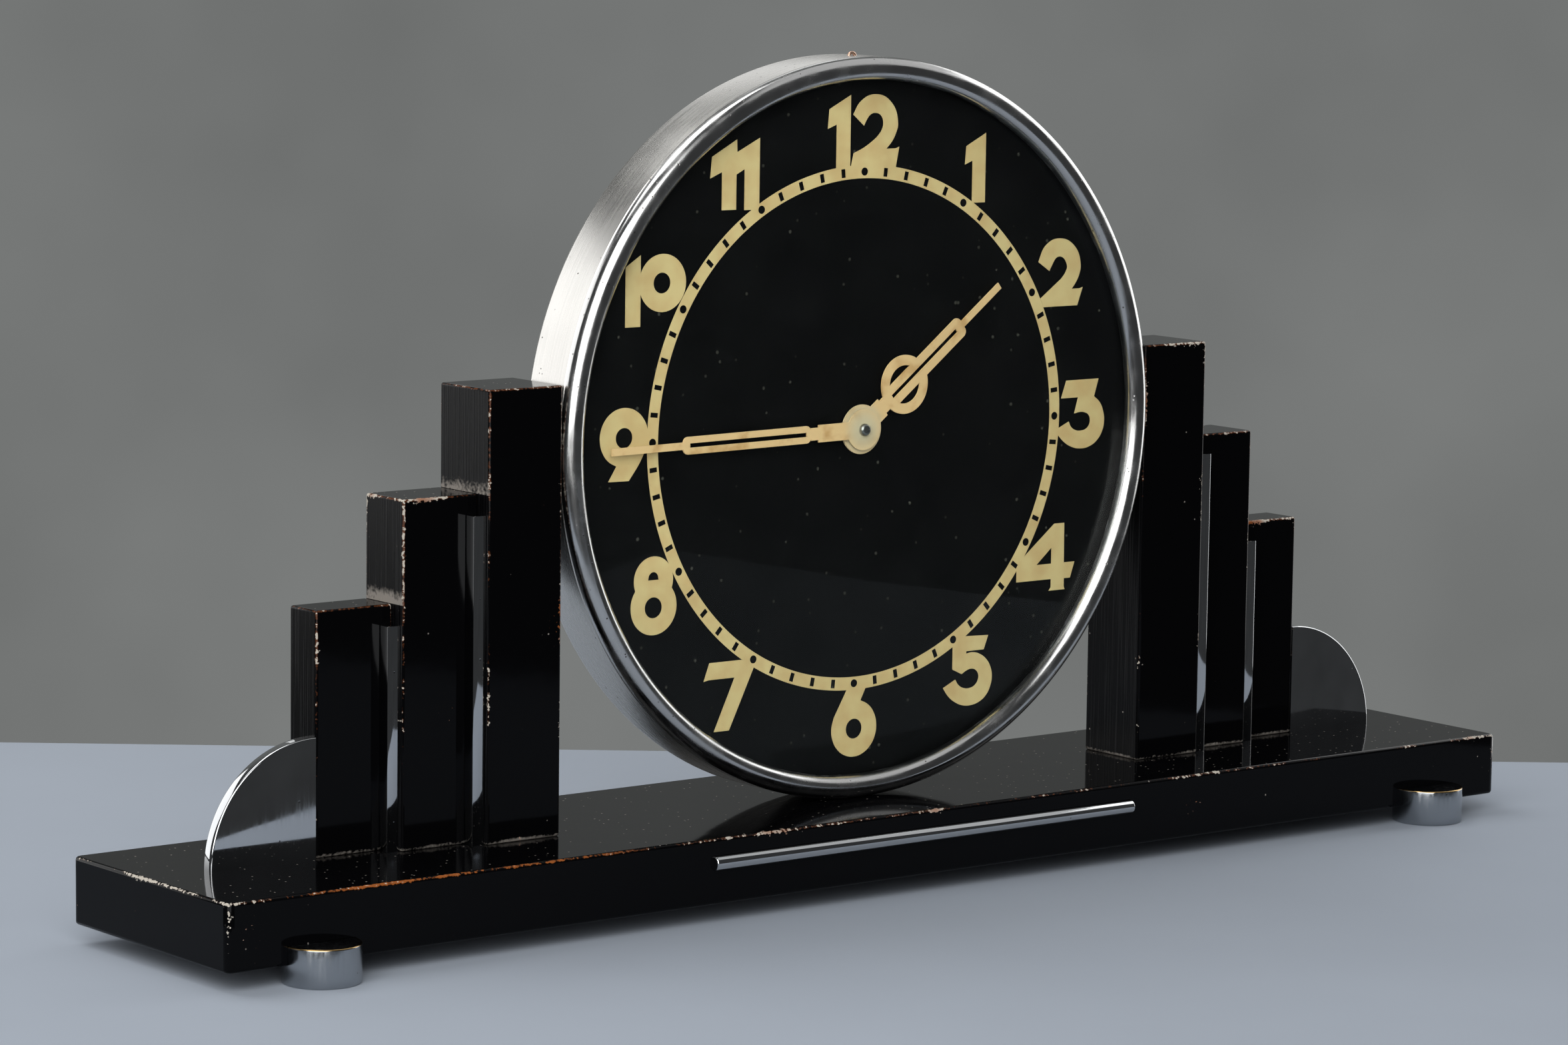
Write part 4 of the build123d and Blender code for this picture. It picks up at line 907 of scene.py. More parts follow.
@dataclass
class WoodWork(SubAssembly):
    """Base board and the six columns that step down from the drum."""

    base_corner: float = 1.8
    base_edge: float = 0.8
    column_edge: float = 0.6
    wear_reach: float = 1.1
    base_wear: float = 0.94  # share of the columns' wear
    # the wear also places the pale chips that paint the edges' highlight, more of them towards the tops
    low_wear: float = 0.52  # share of the wear at the foot of an upright edge
    high_wear: float = 1.12  # and at its top
    notch_gap: float = 0.05
    notch_steps: int = 96
    corner_facets: int = 4
    band_share: float = 0.9  # of the room between the base's two roundings
    large_share: float = 0.02  # of the largest face, below which a face belongs to an edge

    def build(self) -> None:
        """Model and dress every wooden piece."""
        self._base()
        for side in Side:
            for rank in ("inner", "middle", "outer"):
                node = f"{rank}_column_{side.name.lower()}"
                piece = self._board(f"lacquered_{node}", node, self.column_edge, self.column_edge)
                self._finish(piece, node, 1.0)

    def _board(self, name: str, node: str, corner: float, edge: float) -> Piece:
        """Model a board in its node's box, with a band along its edges for the wear to follow.

        Args:
            name: Name of the piece.
            node: CAD node that gives its box.
            corner: Radius of its upright corners.
            edge: Radius of its other edges.

        Returns:
            The board.
        """
        low, high = corners(node)
        band = self.wear_reach
        if corner > edge:
            band = (corner - edge) * self.band_share
            piece = block(name, low, high, corner, self.corner_facets, lambda side: rise(side) > MM)
        else:
            piece = block(name, low, high, edge)
        large = max(face.area for face in piece.data.polygons) * self.large_share
        with editing(piece):
            if corner > edge:
                pick(piece, Element.EDGE, lambda side: rise(side) < 10 * TINY)
                round_picked(edge)
            pick(piece, Element.FACE, lambda face: face.calc_area() > large)
            bpy.ops.mesh.inset(thickness=band * MM, use_individual=True)
        return piece

    def _base(self) -> None:
        """Model the base board with notches for the feet."""
        piece = self._board("lacquered_base", "base_board", self.base_corner, self.base_edge)
        gap = self.notch_gap * MM
        for foot in FOOT_NODES:
            low, high = corners(foot)
            middle = (low + high) / 2
            place = Vector((middle.x, middle.y, 0.0))
            tool = cylinder("notch", place, middle.x - low.x + gap, 2 * (high.z + gap), self.notch_steps)
            combine(piece, tool, Fuse.CUT)
        self._finish(piece, "base_board", self.base_wear)

    def _finish(self, piece: Piece, node: str, share: float) -> None:
        """Mark a board's worn edges, shade it and fit it.

        Args:
            piece: The board.
            node: CAD node that it stands for.
            share: How worn the board is next to the columns.
        """
        low, high = corners(node)

        def wear(place: Vector) -> float:
            """Say how near a point is to a top or upright edge.

            Args:
                place: The point.

            Returns:
                The board's full wear on the edge and 0 further in.
            """
            gaps = [min(place[i] - low[i], high[i] - place[i]) for i in (0, 1)]
            second = sorted(gaps + [high[2] - place[2]])[1]
            height = (place[2] - low[2]) / (high[2] - low[2])
            use = share * (self.low_wear + (self.high_wear - self.low_wear) * height)
            return max(0.0, 1.0 - second / (self.wear_reach * MM)) * use

        mark_wear(piece, wear)
        smooth(piece)
        flat_faces(piece)
        self.fit(piece, Finish.LACQUERED_WOOD, node)


@dataclass
class Trim(SubAssembly):
    """Chrome strips, quarter discs, front rod and feet."""

    strip_edge: float = 0.25
    strip_facets: int = 2
    disc_edge: float = 0.4
    disc_radius: float = 28.0
    disc_middle_x: float = 151.8
    disc_steps: int = 192
    rim_share: float = 0.999  # of the disc's radius, beyond which a point is on its rim
    rod_edge: float = 0.35
    rod_steps: int = 64
    foot_edge: float = 0.4
    foot_facets: int = 4
    foot_rim: float = 1.5  # width of the rubbed rim, in radii of the foot's edge
    foot_steps: int = 128

    def build(self) -> None:
        """Model and dress every piece of chrome trim."""
        for side in Side:
            label = side.name.lower()
            for rank in ("inner", "outer"):
                self._strip(f"{rank}_strip_{label}")
            self._quarter_disc(f"quarter_disc_{label}", side)
        self._rod()
        self._feet()

    def _strip(self, node: str) -> None:
        """Model a square strip with softened edges.

        Args:
            node: CAD node that it stands for.
        """
        piece = block(f"chrome_{node}", *corners(node), self.strip_edge, self.strip_facets)
        smooth(piece)
        self.fit(piece, Finish.CHROME_TRIM, node)

    def _quarter_disc(self, node: str, side: Side) -> None:
        """Model a quarter disc from a cylinder cut along the column and the base.

        Args:
            node: CAD node that it stands for.
            side: Side of the clock.
        """
        low, high = corners(node)
        middle = Vector((side.value * self.disc_middle_x * MM, (low.y + high.y) / 2, BASE_TOP * MM))
        radius = self.disc_radius * MM
        piece = cylinder(f"chrome_{node}", middle, radius, high.y - low.y, self.disc_steps, TO_FRONT)
        rim = radius * self.rim_share

        def on_rim(edge: Any) -> bool:
            """Say whether an edge runs along the round rim."""
            level = abs(edge.verts[0].co.y - edge.verts[1].co.y) < TINY
            return level and all((vertex.co - middle).xz.length > rim for vertex in edge.verts)

        with editing(piece):
            for point, normal in ((middle, (-side.value, 0.0, 0.0)), (low, (0.0, 0.0, -1.0))):
                pick_all()
                bpy.ops.mesh.bisect(plane_co=point, plane_no=normal, use_fill=True, clear_outer=True)
            pick(piece, Element.EDGE, on_rim)
            round_picked(self.disc_edge)
        smooth(piece)
        self.fit(piece, Finish.CHROME_TRIM, node)

    def _rod(self) -> None:
        """Model the half-round rod on the front of the base."""
        low, high = corners("front_rod")
        radius = (high.z - low.z) / 2
        middle = Vector(((low.x + high.x) / 2, low.y + radius, (low.z + high.z) / 2))
        turn = (0.0, math.pi / 2, 0.0)
        piece = cylinder("chrome_front_rod", middle, radius, high.x - low.x, self.rod_steps, turn)
        with editing(piece):
            pick(piece, Element.FACE, lambda face: abs(face.normal.x) > FACING)
            round_picked(self.rod_edge)
            pick_all()
            back = (0.0, low.y + radius, 0.0)
            bpy.ops.mesh.bisect(plane_co=back, plane_no=(0.0, 1.0, 0.0), use_fill=True, clear_outer=True)
        smooth(piece)
        self.fit(piece, Finish.CHROME_TRIM, "front_rod")

    def _feet(self) -> None:
        """Model one foot with its rubbed rim and copy it to the other three places."""
        low, high = corners(FOOT_NODES[0])
        middle = (low + high) / 2
        radius, edge = (high.x - low.x) / 2, self.foot_edge * MM
        piece = cylinder(f"chrome_{FOOT_NODES[0]}", middle, radius, high.z - low.z, self.foot_steps)
        with editing(piece):
            pick(piece, Element.FACE, lambda face: abs(face.normal.z) > FACING)
            round_picked(self.foot_edge, self.foot_facets)
            pick(piece, Element.FACE, lambda face: face.normal.z > FACING)
            bpy.ops.mesh.inset(thickness=edge)
        rim, flat = high.z - edge + TINY, radius - self.foot_rim * edge
        mark_wear(piece, lambda place: float(place.z > rim and (place - middle).xy.length > flat))
        smooth(piece)
        flat_faces(piece)
        feet = [piece]
        for node in FOOT_NODES[1:]:
            feet.append(copy_of(piece, f"chrome_{node}", Matrix.Translation(corners(node)[0] - low)))
        for foot, node in zip(feet, FOOT_NODES):
            self.fit(foot, Finish.FOOT_CHROME, node)


@dataclass
class Drum(SubAssembly):
    """Round case with its bezel and convex glass."""

    radius: float = 89.9
    front: float = -8.6
    back: float = 6.4
    wall: float = 0.8
    back_bend: float = 2.0
    opening: float = 43.0
    bezel_width: float = 5.6
    bezel_rise: float = 0.9
    glass_front: float = -8.9
    glass_wall: float = 1.0
    glass_sag: float = 8.0
    glass_bite: float = 2.1
    dome_inset: float = 0.3
    rebate: float = 1.55
    spigot: float = 3.0
    spigot_wall: float = 0.9
    clearance: float = 0.05
    seam: float = 0.25
    bend_steps: tuple[int, int] = (8, 6)  # facets of the back edge, outside and inside
    curve_steps: int = 28  # of the bead and the dome
    steps: int = 192

    def build(self) -> None:
        """Turn and dress the case, bezel and glass."""
        for name, profile, finish, node in (
            ("satin_drum", self._case(), Finish.DRUM_METAL, "drum_case"),
            ("chrome_bezel", self._bezel(), Finish.BEZEL_CHROME, "front_bezel"),
            ("domed_glass", self._glass(), Finish.CLEAR_GLASS, "glass"),
        ):
            piece = turned(name, profile, DRUM_MIDDLE, self.steps)
            smooth(piece)
            self.fit(piece, finish, node)
        self.keep(Finish.COPPER_WIRE, "top_staple")

    def _case(self) -> list[Point]:
        """Lay out the pressed band with its rounded back edge.

        Returns:
            Profile for the lathe.
        """
        bend = (self.radius - self.back_bend, self.back - self.back_bend)
        inner = self.radius - self.wall
        profile = [(inner, self.front), (self.radius - self.seam, self.front)]
        profile += [(self.radius, self.front + self.seam)]
        profile += arc(bend, self.back_bend, 0.0, 90.0, self.bend_steps[0])
        profile += [(self.opening, self.back), (self.opening, self.back - self.wall)]
        return profile + arc(bend, self.back_bend - self.wall, 90.0, 0.0, self.bend_steps[1])

    def _bezel(self) -> list[Point]:
        """Lay out the half-round bead with its rebate for the glass and its spigot.

        Returns:
            Profile for the lathe.
        """
        half = self.bezel_width / 2
        bead = (self.radius - half, self.front - self.bezel_rise)
        lip = self.radius - self.bezel_width
        seat, step = lip + self.glass_bite + self.clearance, self.glass_front + self.rebate
        outer, end = self.radius - self.wall - self.clearance, self.front + self.spigot
        inner = outer - self.spigot_wall
        profile = [(self.radius - self.seam, self.front), (self.radius, self.front - self.seam)]
        profile += arc(bead, half, 0.0, -180.0, self.curve_steps)
        profile += [(lip, self.glass_front), (seat, self.glass_front), (seat, step), (inner, step)]
        return profile + [(inner, end), (outer, end), (outer, self.front)]

    def _glass(self) -> list[Point]:
        """Lay out the domed glass with its flat rim.

        Returns:
            Profile for the lathe.
        """
        lip = self.radius - self.bezel_width
        dome = lip - self.dome_inset
        ball = (dome**2 + self.glass_sag**2) / (2 * self.glass_sag)
        edge = -90.0 + math.degrees(math.asin(dome / ball))
        outer = self.glass_front - self.glass_sag + ball
        rim = lip + self.glass_bite
        profile = arc((0.0, outer), ball, -90.0, edge, self.curve_steps)
        profile += [(rim, self.glass_front), (rim, self.glass_front + self.glass_wall)]
        return profile + arc((0.0, outer + self.glass_wall), ball, edge, -90.0, self.curve_steps)


@dataclass(frozen=True)
class Outline:
    """One closed line of a printed figure.

    Points are millimetres from the dial's centre, right and up, and those listed in rounds are
    passed smoothly.
    """

    points: tuple[Point, ...]
    rounds: tuple[int, ...] = ()

    def bends(self) -> list[Bend]:
        """Return how the line passes each point."""
        return [Bend.ROUND if index in self.rounds else Bend.SHARP for index in range(len(self.points))]


@dataclass(frozen=True)
class Figure:
    """A printed hour figure: outlines that are filled together and outlines that stay open."""

    name: str
    filled: tuple[Outline, ...]
    open: tuple[Outline, ...] = ()


def ring_of(x: float, z: float, radius: float) -> Outline:
    """Return a circle as four smooth points."""
    return Outline(((x + radius, z), (x, z + radius), (x - radius, z), (x, z - radius)), run(0, 3))


def bow(middle: Point, radius: float, start: float, end: float) -> tuple[Point, ...]:
    """Return thirteen points along a bow of a figure, from one angle in degrees to another."""
    return tuple(arc(middle, radius, start, end, 12))


def run(first: int, last: int) -> tuple[int, ...]:
    """Return the point numbers from first to last."""
    return tuple(range(first, last + 1))


FIGURES: tuple[Figure, ...] = (
    Figure("twelve", (
        Outline(((-4.0, 80.7), (-10.6, 77.4), (-11.0, 72.7), (-8.3, 73.7), (-8.3, 63.0), (-4.0, 63.0))),
        Outline((
            (-3.3, 76.0), (-1.0, 79.1), (3.5, 80.7), (8.5, 78.6), (10.6, 73.5), (10.0, 71.2), (8.8, 69.2),
            (7.1, 67.5), (10.0, 67.5), (11.1, 67.9), (10.1, 63.0), (-3.9, 63.0), (-3.0, 66.7), (0.0, 67.9),
            (2.5, 69.3), (4.5, 70.8), (5.6, 72.2), (6.0, 73.8), (5.2, 75.6), (3.5, 76.2), (2.0, 75.8),
            (0.9, 74.6), (0.1, 73.2),
        ), run(1, 6) + run(13, 21)),
    )),
    Figure("one", (
        Outline(((38.4, 70.5), (32.2, 67.4), (31.8, 62.9), (34.2, 63.8), (34.2, 53.5), (38.4, 53.5))),
    )),
    Figure("two", (
        Outline((
            (56.0, 38.1), (58.2, 42.0), (62.7, 43.7), (67.8, 41.6), (69.9, 36.8), (69.5, 34.6), (68.5, 32.7),
            (67.1, 31.0), (69.6, 31.0), (70.7, 31.3), (69.0, 26.8), (57.9, 26.8), (56.9, 29.0), (63.5, 33.6),
            (64.9, 35.2), (65.4, 36.9), (62.8, 39.2), (60.1, 36.5), (59.7, 35.7),
        ), run(1, 6) + run(14, 17)),
    )),
    Figure("three", (
        Outline((
            (65.9, 8.1), (76.6, 8.1), (75.2, 3.7), (77.2, 2.0), (78.4, -0.5), (78.7, -2.5), (78.2, -5.0),
            (76.5, -7.4), (74.0, -8.8), (71.0, -9.2), (68.0, -8.6), (65.6, -7.3), (63.4, -5.3), (63.5, -3.7),
            (67.0, -2.2), (67.8, -3.6), (69.3, -4.5), (71.0, -4.7), (72.8, -4.3), (73.8, -3.2), (74.0, -2.2),
            (73.5, -0.9), (72.2, -0.2), (70.8, 0.0), (68.7, -0.3), (69.9, 3.7), (64.3, 3.7),
        ), run(3, 11) + run(15, 23)),
    )),
    Figure("four", (
        Outline((
            (66.2, -27.6), (62.9, -27.6), (52.9, -35.4), (50.8, -38.4), (50.8, -41.5), (62.1, -41.5),
            (62.1, -43.6), (61.4, -44.4), (66.7, -44.4), (66.4, -43.6), (66.4, -41.6), (68.4, -41.6),
            (69.8, -37.6), (66.3, -37.6),
        )),
    ), (Outline(((57.3, -37.6), (62.1, -37.6), (62.1, -33.6))),)),
    Figure("five", (
        Outline((
            (34.2, -53.6), (42.0, -53.9), (40.6, -57.4), (35.0, -57.4), (35.0, -58.0), (37.0, -57.8),
            (39.3, -58.4), (41.6, -60.0), (42.9, -62.0), (43.4, -64.2), (42.9, -66.8), (41.6, -68.9),
            (39.6, -70.3), (37.0, -71.0), (34.3, -70.9), (31.7, -69.9), (29.5, -68.3), (27.7, -66.0),
            (31.6, -64.2), (32.6, -65.6), (34.2, -66.5), (36.2, -66.7), (37.9, -66.1), (38.9, -64.8),
            (39.0, -63.6), (38.2, -62.4), (36.7, -61.9), (35.2, -62.2), (33.6, -63.0), (30.6, -61.6),
            (30.6, -55.6),
        ), run(5, 16) + run(19, 27)),
    )),
    Figure("six", (
        Outline(((-2.3, -63.0), (3.5, -63.0)) + bow((-0.3, -73.3), 7.0, 74.0, -206.0), run(3, 13)),
    ), (ring_of(-0.35, -73.4, 2.45),)),
    Figure("seven", (
        Outline((
            (-44.7, -53.4), (-35.0, -53.4), (-31.3, -55.5), (-38.6, -70.2), (-43.2, -70.2), (-37.1, -57.5),
            (-44.9, -57.5), (-46.4, -57.8),
        )),
    )),
    Figure("eight", (ring_of(-61.4, -38.5, 6.75), ring_of(-61.5, -32.2, 5.75)), (
        ring_of(-61.5, -38.7, 2.5),
        Outline(((-63.1, -32.1), (-60.0, -32.1), (-60.4, -30.8), (-61.55, -30.2), (-62.7, -30.8)), run(2, 4)),
    )),
    Figure("nine", (
        Outline(
            bow((-70.5, 2.2), 7.0, -108.0, -368.0) + ((-65.4, -3.2), (-69.0, -8.1), (-75.0, -8.0)),
            run(1, 13),
        ),
    ), (ring_of(-70.5, 2.1, 2.4),)),
    Figure("ten", (
        Outline(((-66.1, 44.8), (-70.5, 42.1), (-70.5, 28.0), (-66.1, 28.0))),
        ring_of(-59.7, 38.0, 6.85),
    ), (ring_of(-59.9, 38.0, 2.45),)),
    Figure("eleven", (
        Outline((
            (-38.2, 71.0), (-45.6, 67.1), (-46.1, 62.0), (-42.6, 63.4), (-42.6, 54.4), (-38.3, 54.4),
            (-38.3, 62.7), (-35.9, 63.9), (-35.9, 54.2), (-31.4, 54.2), (-31.4, 71.2), (-38.1, 68.0),
        )),
    )),
)


@dataclass
class DialFace(SubAssembly):
    """Black dial with its printed minute ring and hour figures."""

    front: float = -7.25
    ink: float = 0.03
    figure_ink: float = 0.042
    ring_inner: float = 60.6
    ring_outer: float = 63.8
    ring_steps: int = 240
    tick_length: float = 2.1
    tick_width: float = 1.15
    dot: float = 1.95
    dot_steps: int = 32
    turn: float = 0.45  # of the ring's marks, in degrees
    curve_steps: int = 10

    def build(self) -> None:
        """Print the dial and dress the plate."""
        self.keep(Finish.DIAL_BLACK, "dial")
        self._ring()
        self._marks()
        for figure in FIGURES:
            self._figure(figure)

    def _ring(self) -> None:
        """Print the cream minute ring."""
        near, inner, outer = self.front - self.ink, self.ring_inner, self.ring_outer
        profile = [(inner, near), (outer, near), (outer, self.front), (inner, self.front)]
        piece = turned("printed_minute_ring", profile, DRUM_MIDDLE, self.ring_steps)
        smooth(piece)
        self.fit(piece, Finish.DIAL_CREAM, slot="dial_black")

    def _marks(self) -> None:
        """Print one tick and one dot, copy them round the ring and join them."""
        near, far = self.front - 2 * self.ink, self.front - self.ink / 2
        level = DRUM_MIDDLE[2] + (self.ring_inner + self.ring_outer) / 2
        half = (self.tick_width / 2, self.tick_length / 2)
        low, high = metres((-half[0], near, level - half[1])), metres((half[0], far, level + half[1]))
        tick = block("tick", low, high, self.ink / 4, CHAMFER)
        middle = metres((0.0, (near + far) / 2, level))
        dot = cylinder("dot", middle, self.dot / 2 * MM, (far - near) * MM, self.dot_steps, TO_FRONT)
        marks = []
        for minute in range(MINUTES):
            mark = dot if minute % 5 == 0 else tick  # dots on the hours
            place = spun(DRUM_MIDDLE, minute * 360.0 / MINUTES + self.turn)
            marks.append(copy_of(mark, f"mark_{minute}", place))
        bpy.data.objects.remove(tick)
        bpy.data.objects.remove(dot)
        self.fit(join(marks, "printed_minute_marks"), Finish.DIAL_BLACK)

    def _sheet(self, name: str, outlines: Sequence[Outline], reach: float = 0.0) -> Piece:
        """Fill outlines as one flat curve and make it a thin mesh on the dial.

        Args:
            name: Name of the piece.
            outlines: Outer line first, then lines inside it that stay open.
            reach: How far it passes the print on both sides, for a tool that cuts it.

        Returns:
            The printed mesh.
        """
        clear_selection()
        bpy.ops.curve.primitive_bezier_circle_add(radius=MM)
        curve = bpy.context.object.data
        bpy.context.object.name = name
        curve.dimensions = "2D"
        curve.fill_mode = "BOTH"
        curve.extrude = (self.figure_ink / 2 + reach) * MM
        curve.resolution_u = self.curve_steps
        curve.splines.clear()
        for outline in outlines:
            spline = curve.splines.new("BEZIER")
            spline.bezier_points.add(len(outline.points) - 1)
            spline.use_cyclic_u = True
            for knot, place, bend in zip(spline.bezier_points, outline.points, outline.bends()):
                knot.co = metres((place[0], place[1], 0.0))
                knot.handle_left_type = knot.handle_right_type = bend.value
        bpy.ops.object.convert(target="MESH")
        piece = bpy.context.object
        piece.rotation_euler = TO_FRONT
        piece.location = metres((DRUM_MIDDLE[0], self.front - self.figure_ink / 2, DRUM_MIDDLE[2]))
        freeze(piece)
        with editing(piece):
            pick_all()
            bpy.ops.mesh.remove_doubles(threshold=TINY / 10)
            bpy.ops.mesh.normals_make_consistent(inside=False)
        return piece

    def _figure(self, figure: Figure) -> None:
        """Print one hour figure.

        Args:
            figure: The figure.
        """
        name = f"printed_{figure.name}"
        if len(figure.filled) == 1:
            piece = self._sheet(name, figure.filled + figure.open)
        else:
            piece = self._sheet(name, figure.filled[:1])
            for part in figure.filled[1:]:
                combine(piece, self._sheet("part", (part,)), Fuse.ADD)
            for hole in figure.open:
                combine(piece, self._sheet("hole", (hole,), self.figure_ink), Fuse.CUT)
        self.fit(piece, Finish.DIAL_CREAM, slot="dial_black")


@dataclass
class Hands(SubAssembly):
    """Pierced hands and the pin that holds them."""

    dome_steps: int = 8
    pin_steps: int = 48

    def build(self) -> None:
        """Dress the hands and turn the pin with its domed end."""
        self.keep(Finish.HAND_CREAM, "hour_hand", "minute_hand")
        low, high = (corner / MM for corner in corners("hand_pin"))
        radius = (high.x - low.x) / 2
        dome = radius / 2
        profile = [(0.0, high.y), (radius, high.y)]
        profile += arc((radius - dome, low.y + dome), dome, 0.0, -90.0, self.dome_steps)
        piece = turned("steel_hand_pin", profile + [(0.0, low.y)], DRUM_MIDDLE, self.pin_steps)
        smooth(piece)
        self.fit(piece, Finish.STEEL, "hand_pin", body="centre_arbor")


@dataclass
class RearFittings(SubAssembly):
    """Slotted screws of the rear cover and the knurled knob that sets the hands."""

    screw_angles: tuple[float, ...] = (90.0, 210.0, 330.0)
    screw_distance: float = 47.6
    slot_turns: tuple[float, ...] = (25.0, -50.0, 10.0)  # how far each slot is turned, in degrees
    shank_radius: float = 1.3
    head_radius: float = 2.4
    head_height: float = 1.3
    head_round: float = 0.6
    head_steps: int = 6
    slot_width: float = 0.7
    slot_depth: float = 0.6
    slot_edge: float = 0.05
    slot_clear: float = 1.0  # how far the tool that cuts it passes the head
    knob_bore: float = 0.75
    knob_edge: float = 0.7
    knob_edge_steps: int = 5
    knob_rim: float = 1.6
    knob_dish: float = 0.5
    knob_cap: float = 0.5
    knob_ridges: int = 24
    ridge_steps: int = 2  # facets of a ridge
    ridge_angle: float = 30.0  # the knob's edges are shaded smooth up to it
    ridge_share: float = 0.94  # radius between the ridges next to that on them
    steps: int = 96

    def build(self) -> None:
        """Model and dress the screws and the knob."""
        self._screws()
        self._knob()

    def _screws(self) -> None:
        """Turn a screw for each hole of the cover, cut its slot and join the three."""
        low, high = (corner / MM for corner in corners("cover_screws"))
        front, back = low.y, high.y
        head, bend = self.head_radius, self.head_round
        seat = back - self.head_height
        profile = [(0.0, front), (self.shank_radius, front), (self.shank_radius, seat), (head, seat)]
        profile += arc((head - bend, back - bend), bend, 0.0, 90.0, self.head_steps)
        profile += [(0.0, back)]
        screws = []
        for angle, slot_turn in zip(self.screw_angles, self.slot_turns):
            x, z = arc((DRUM_MIDDLE[0], DRUM_MIDDLE[2]), self.screw_distance, angle, angle, 1)[0]
            screw = turned("screw", profile, (x, 0.0, z), self.steps // 2)
            near = metres((x - 2 * head, back - self.slot_depth, z - self.slot_width / 2))
            far = metres((x + 2 * head, back + self.slot_clear, z + self.slot_width / 2))
            slot = block("slot", near, far, self.slot_edge, CHAMFER)
            slot.data.transform(spun((x, 0.0, z), slot_turn))
            combine(screw, slot, Fuse.CUT)
            screws.append(screw)
        piece = join(screws, "slotted_cover_screws")
        smooth(piece)
        self.fit(piece, Finish.STEEL, "cover_screws")

    def _knob(self) -> None:
        """Turn the knob with its dished end and press the grooves between its ridges."""
        low, high = (corner / MM for corner in corners("set_knob"))
        front, back = low.y, high.y
        radius, edge = (high.x - low.x) / 2, self.knob_edge
        rim, dish = radius - edge - self.knob_rim, back - self.knob_dish
        profile = [(self.knob_bore, front), (radius - edge, front), (radius, front + edge)]
        profile += arc((radius - edge, back - edge), edge, 0.0, 90.0, self.knob_edge_steps)
        profile += [(rim, back), (rim - self.knob_dish, dish), (0.0, dish)]
        profile += [(0.0, dish - self.knob_cap), (self.knob_bore, dish - self.knob_cap)]
        piece = turned("knurled_set_knob", profile, DRUM_MIDDLE, self.steps)
        middle, outer = metres(DRUM_MIDDLE), (radius - edge / 2) * MM

        def in_groove(point: Any) -> bool:
            """Say whether a point lies on the rim between two ridges.

            Args:
                point: The point.

            Returns:
                True in a groove.
            """
            away = (point.co - middle).xz
            step = round(math.atan2(away.y, away.x) / FULL_TURN * self.steps)
            return away.length > outer and step % (self.steps // self.knob_ridges) >= self.ridge_steps

        with editing(piece):
            pick(piece, Element.VERT, in_groove)
            bpy.ops.transform.resize(value=(self.ridge_share, 1.0, self.ridge_share), center_override=middle)
        smooth(piece, self.ridge_angle)
        self.fit(piece, Finish.BRASS, "set_knob", body="centre_arbor")


@dataclass
class Works(SubAssembly):
    """Movement, rear cover and key, dressed by the record's slots."""

    finishes: tuple[Finish, ...] = (Finish.STEEL, Finish.BRASS, Finish.DRUM_METAL)

    def build(self, record: dict[str, Any]) -> None:
        """Dress every CAD node that no other class has taken.

        Args:
            record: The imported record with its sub-parts.
        """
        kept = {finish.name.lower(): finish for finish in self.finishes}
        for part in record["subparts"]:
            finish = kept.get(part["material_slot"])
            if finish is not None and not self.nodes[part["node"]].hide_render:
                self.keep(finish, part["node"])


@dataclass(frozen=True)
class Lamp:
    """A soft square lamp: where it hangs in millimetres, its side in metres and its power in watts."""

    name: str
    place: Corner
    side: float
    watts: float


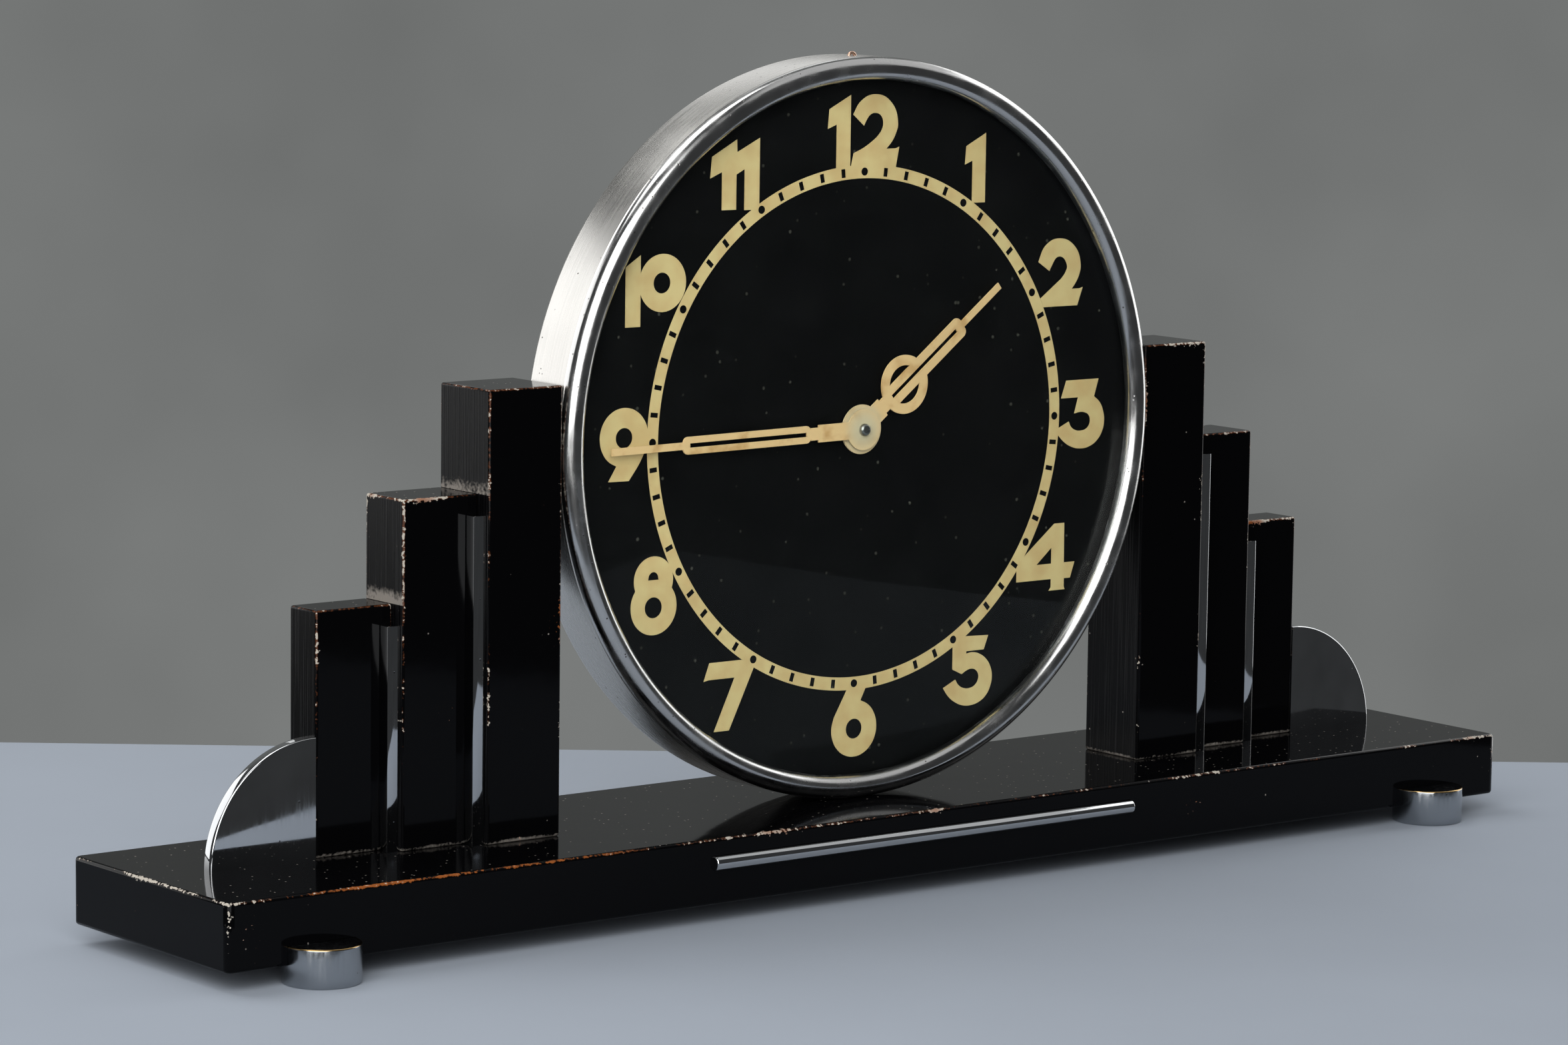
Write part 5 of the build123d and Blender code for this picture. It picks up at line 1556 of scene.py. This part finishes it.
@dataclass
class Studio:
    """Pale table top in a dim room with a lighter wall behind the clock, soft lamps and the camera."""

    table: str = "#9AA1AB"
    wall: str = "#747675"
    room: str = "#3C3D3E"
    table_side: float = 275.0
    table_front: float = 235.0
    table_back: float = 170.0
    table_thickness: float = 30.0
    table_edge: float = 3.0
    table_cloud: float = 90.0
    table_tones: Point = (0.95, 1.05)
    wall_shares: Point = (0.35, 0.85)  # cosines from the wall's middle at which its light is out and full
    wall_clouds: float = 14.0  # clouds are about 4 degrees wide
    wall_tones: Point = (0.75, 1.25)
    lamps: tuple[Lamp, ...] = (
        Lamp("key_lamp", (-1250.0, -1150.0, 950.0), 2.0, 46.0),
        Lamp("top_lamp", (-250.0, 700.0, 1500.0), 1.0, 11.0),
        Lamp("ceiling_panel", (1150.0, -250.0, 1700.0), 2.0, 7.0),
        Lamp("left_panel", (-560.0, 980.0, 330.0), 0.8, 3.2),
        Lamp("right_panel", (1300.0, 150.0, 380.0), 1.2, 8.0),
        Lamp("rear_panel", (720.0, 1250.0, 740.0), 0.5, 0.6),
    )
    aim: Corner = (0.0, 0.0, 100.0)
    camera_place: Corner = (-812.044, -1014.768, 259.552)
    right: Corner = (0.788143, -0.615351, 0.013156)
    up: Corner = (0.071024, 0.112157, 0.991149)
    behind: Corner = (-0.611380, -0.780233, 0.132100)
    focal_px: float = 8082.06
    sensor_mm: float = 36.0
    clip_start: float = 0.05
    clip_end: float = 30.0

    def build(self) -> None:
        """Set up stage, light and camera."""
        self._table()
        self._room()
        for lamp in self.lamps:
            self._hang(lamp)
        self._camera()
        bpy.context.scene.view_settings.view_transform = "Standard"

    def _table(self) -> None:
        """Stand the clock on a slab with matt pale paper that lies square to the camera."""
        low = metres((-self.table_side, -self.table_front, -self.table_thickness))
        high = metres((self.table_side, self.table_back, 0.0))
        slab = block("studio_table", low, high, self.table_edge)
        slab.rotation_euler = (0.0, 0.0, math.atan2(self.right[1], self.right[0]))
        freeze(slab)
        smooth(slab)
        recipe = Recipe(bpy.data.materials.new("pale_table_paper"))
        cloud = recipe.add("TexNoise", recipe.at["Object"], per_metre(self.table_cloud), PLAIN)
        tone = recipe.add("MapRange", cloud, 0.0, 1.0, *self.table_tones)
        colour = recipe.add("VectorMath", linear(self.table)[:3], tone, operation="SCALE")
        slab.data.materials.append(recipe.close(recipe.add("BsdfDiffuse", colour)))

    def _room(self) -> None:
        """Fill the room with a dim grey light that rises softly towards the mottled wall."""
        world = bpy.data.worlds.new("studio_room")
        recipe = Recipe(world)
        add, way = recipe.add, recipe.at["Generated"]
        middle = -Vector((self.behind[0], self.behind[1], 0.0)).normalized()
        facing = add("VectorMath", way, middle, operation="DOT_PRODUCT")
        share = add("MapRange", facing, *self.wall_shares, interpolation_type="SMOOTHSTEP")
        colour = add("Mix", share, self.room, self.wall, data_type="RGBA")
        tone = add("MapRange", add("TexNoise", way, self.wall_clouds, PLAIN), 0.0, 1.0, *self.wall_tones)
        add("OutputWorld", add("Background", colour, tone))
        bpy.context.scene.world = world

    def _hang(self, lamp: Lamp) -> None:
        """Hang a lamp so that it faces the clock.

        Args:
            lamp: The lamp.
        """
        clear_selection()
        bpy.ops.object.light_add(type="AREA", location=metres(lamp.place))
        light = bpy.context.object
        light.name = lamp.name
        light.data.size = lamp.side
        light.data.energy = lamp.watts
        light.visible_camera = False
        way = metres(self.aim) - light.location
        light.rotation_euler = way.to_track_quat("-Z", "Y").to_euler()

    def _camera(self) -> None:
        """Stand the camera where the photograph was taken from."""
        clear_selection()
        bpy.ops.object.camera_add()
        camera = bpy.context.object
        camera.name = "studio_camera"
        columns = [Vector(self.right), Vector(self.up), Vector(self.behind)]
        turn = Matrix(columns).transposed().to_4x4()
        camera.matrix_world = Matrix.Translation(metres(self.camera_place)) @ turn
        camera.data.sensor_fit = "HORIZONTAL"
        camera.data.sensor_width = self.sensor_mm
        camera.data.lens = self.focal_px / PHOTO_WIDTH * self.sensor_mm
        camera.data.clip_start = self.clip_start
        camera.data.clip_end = self.clip_end
        bpy.context.scene.camera = camera


def main() -> None:
    """Build the clock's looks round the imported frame."""
    logging.basicConfig(level=logging.INFO, format="%(message)s")
    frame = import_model()
    for group in (WoodWork, Trim, Drum, DialFace, Hands, RearFittings):
        group(frame["nodes"]).build()
    Works(frame["nodes"]).build(frame["record"])
    Studio().build()


if __name__ == "__main__":
    main()
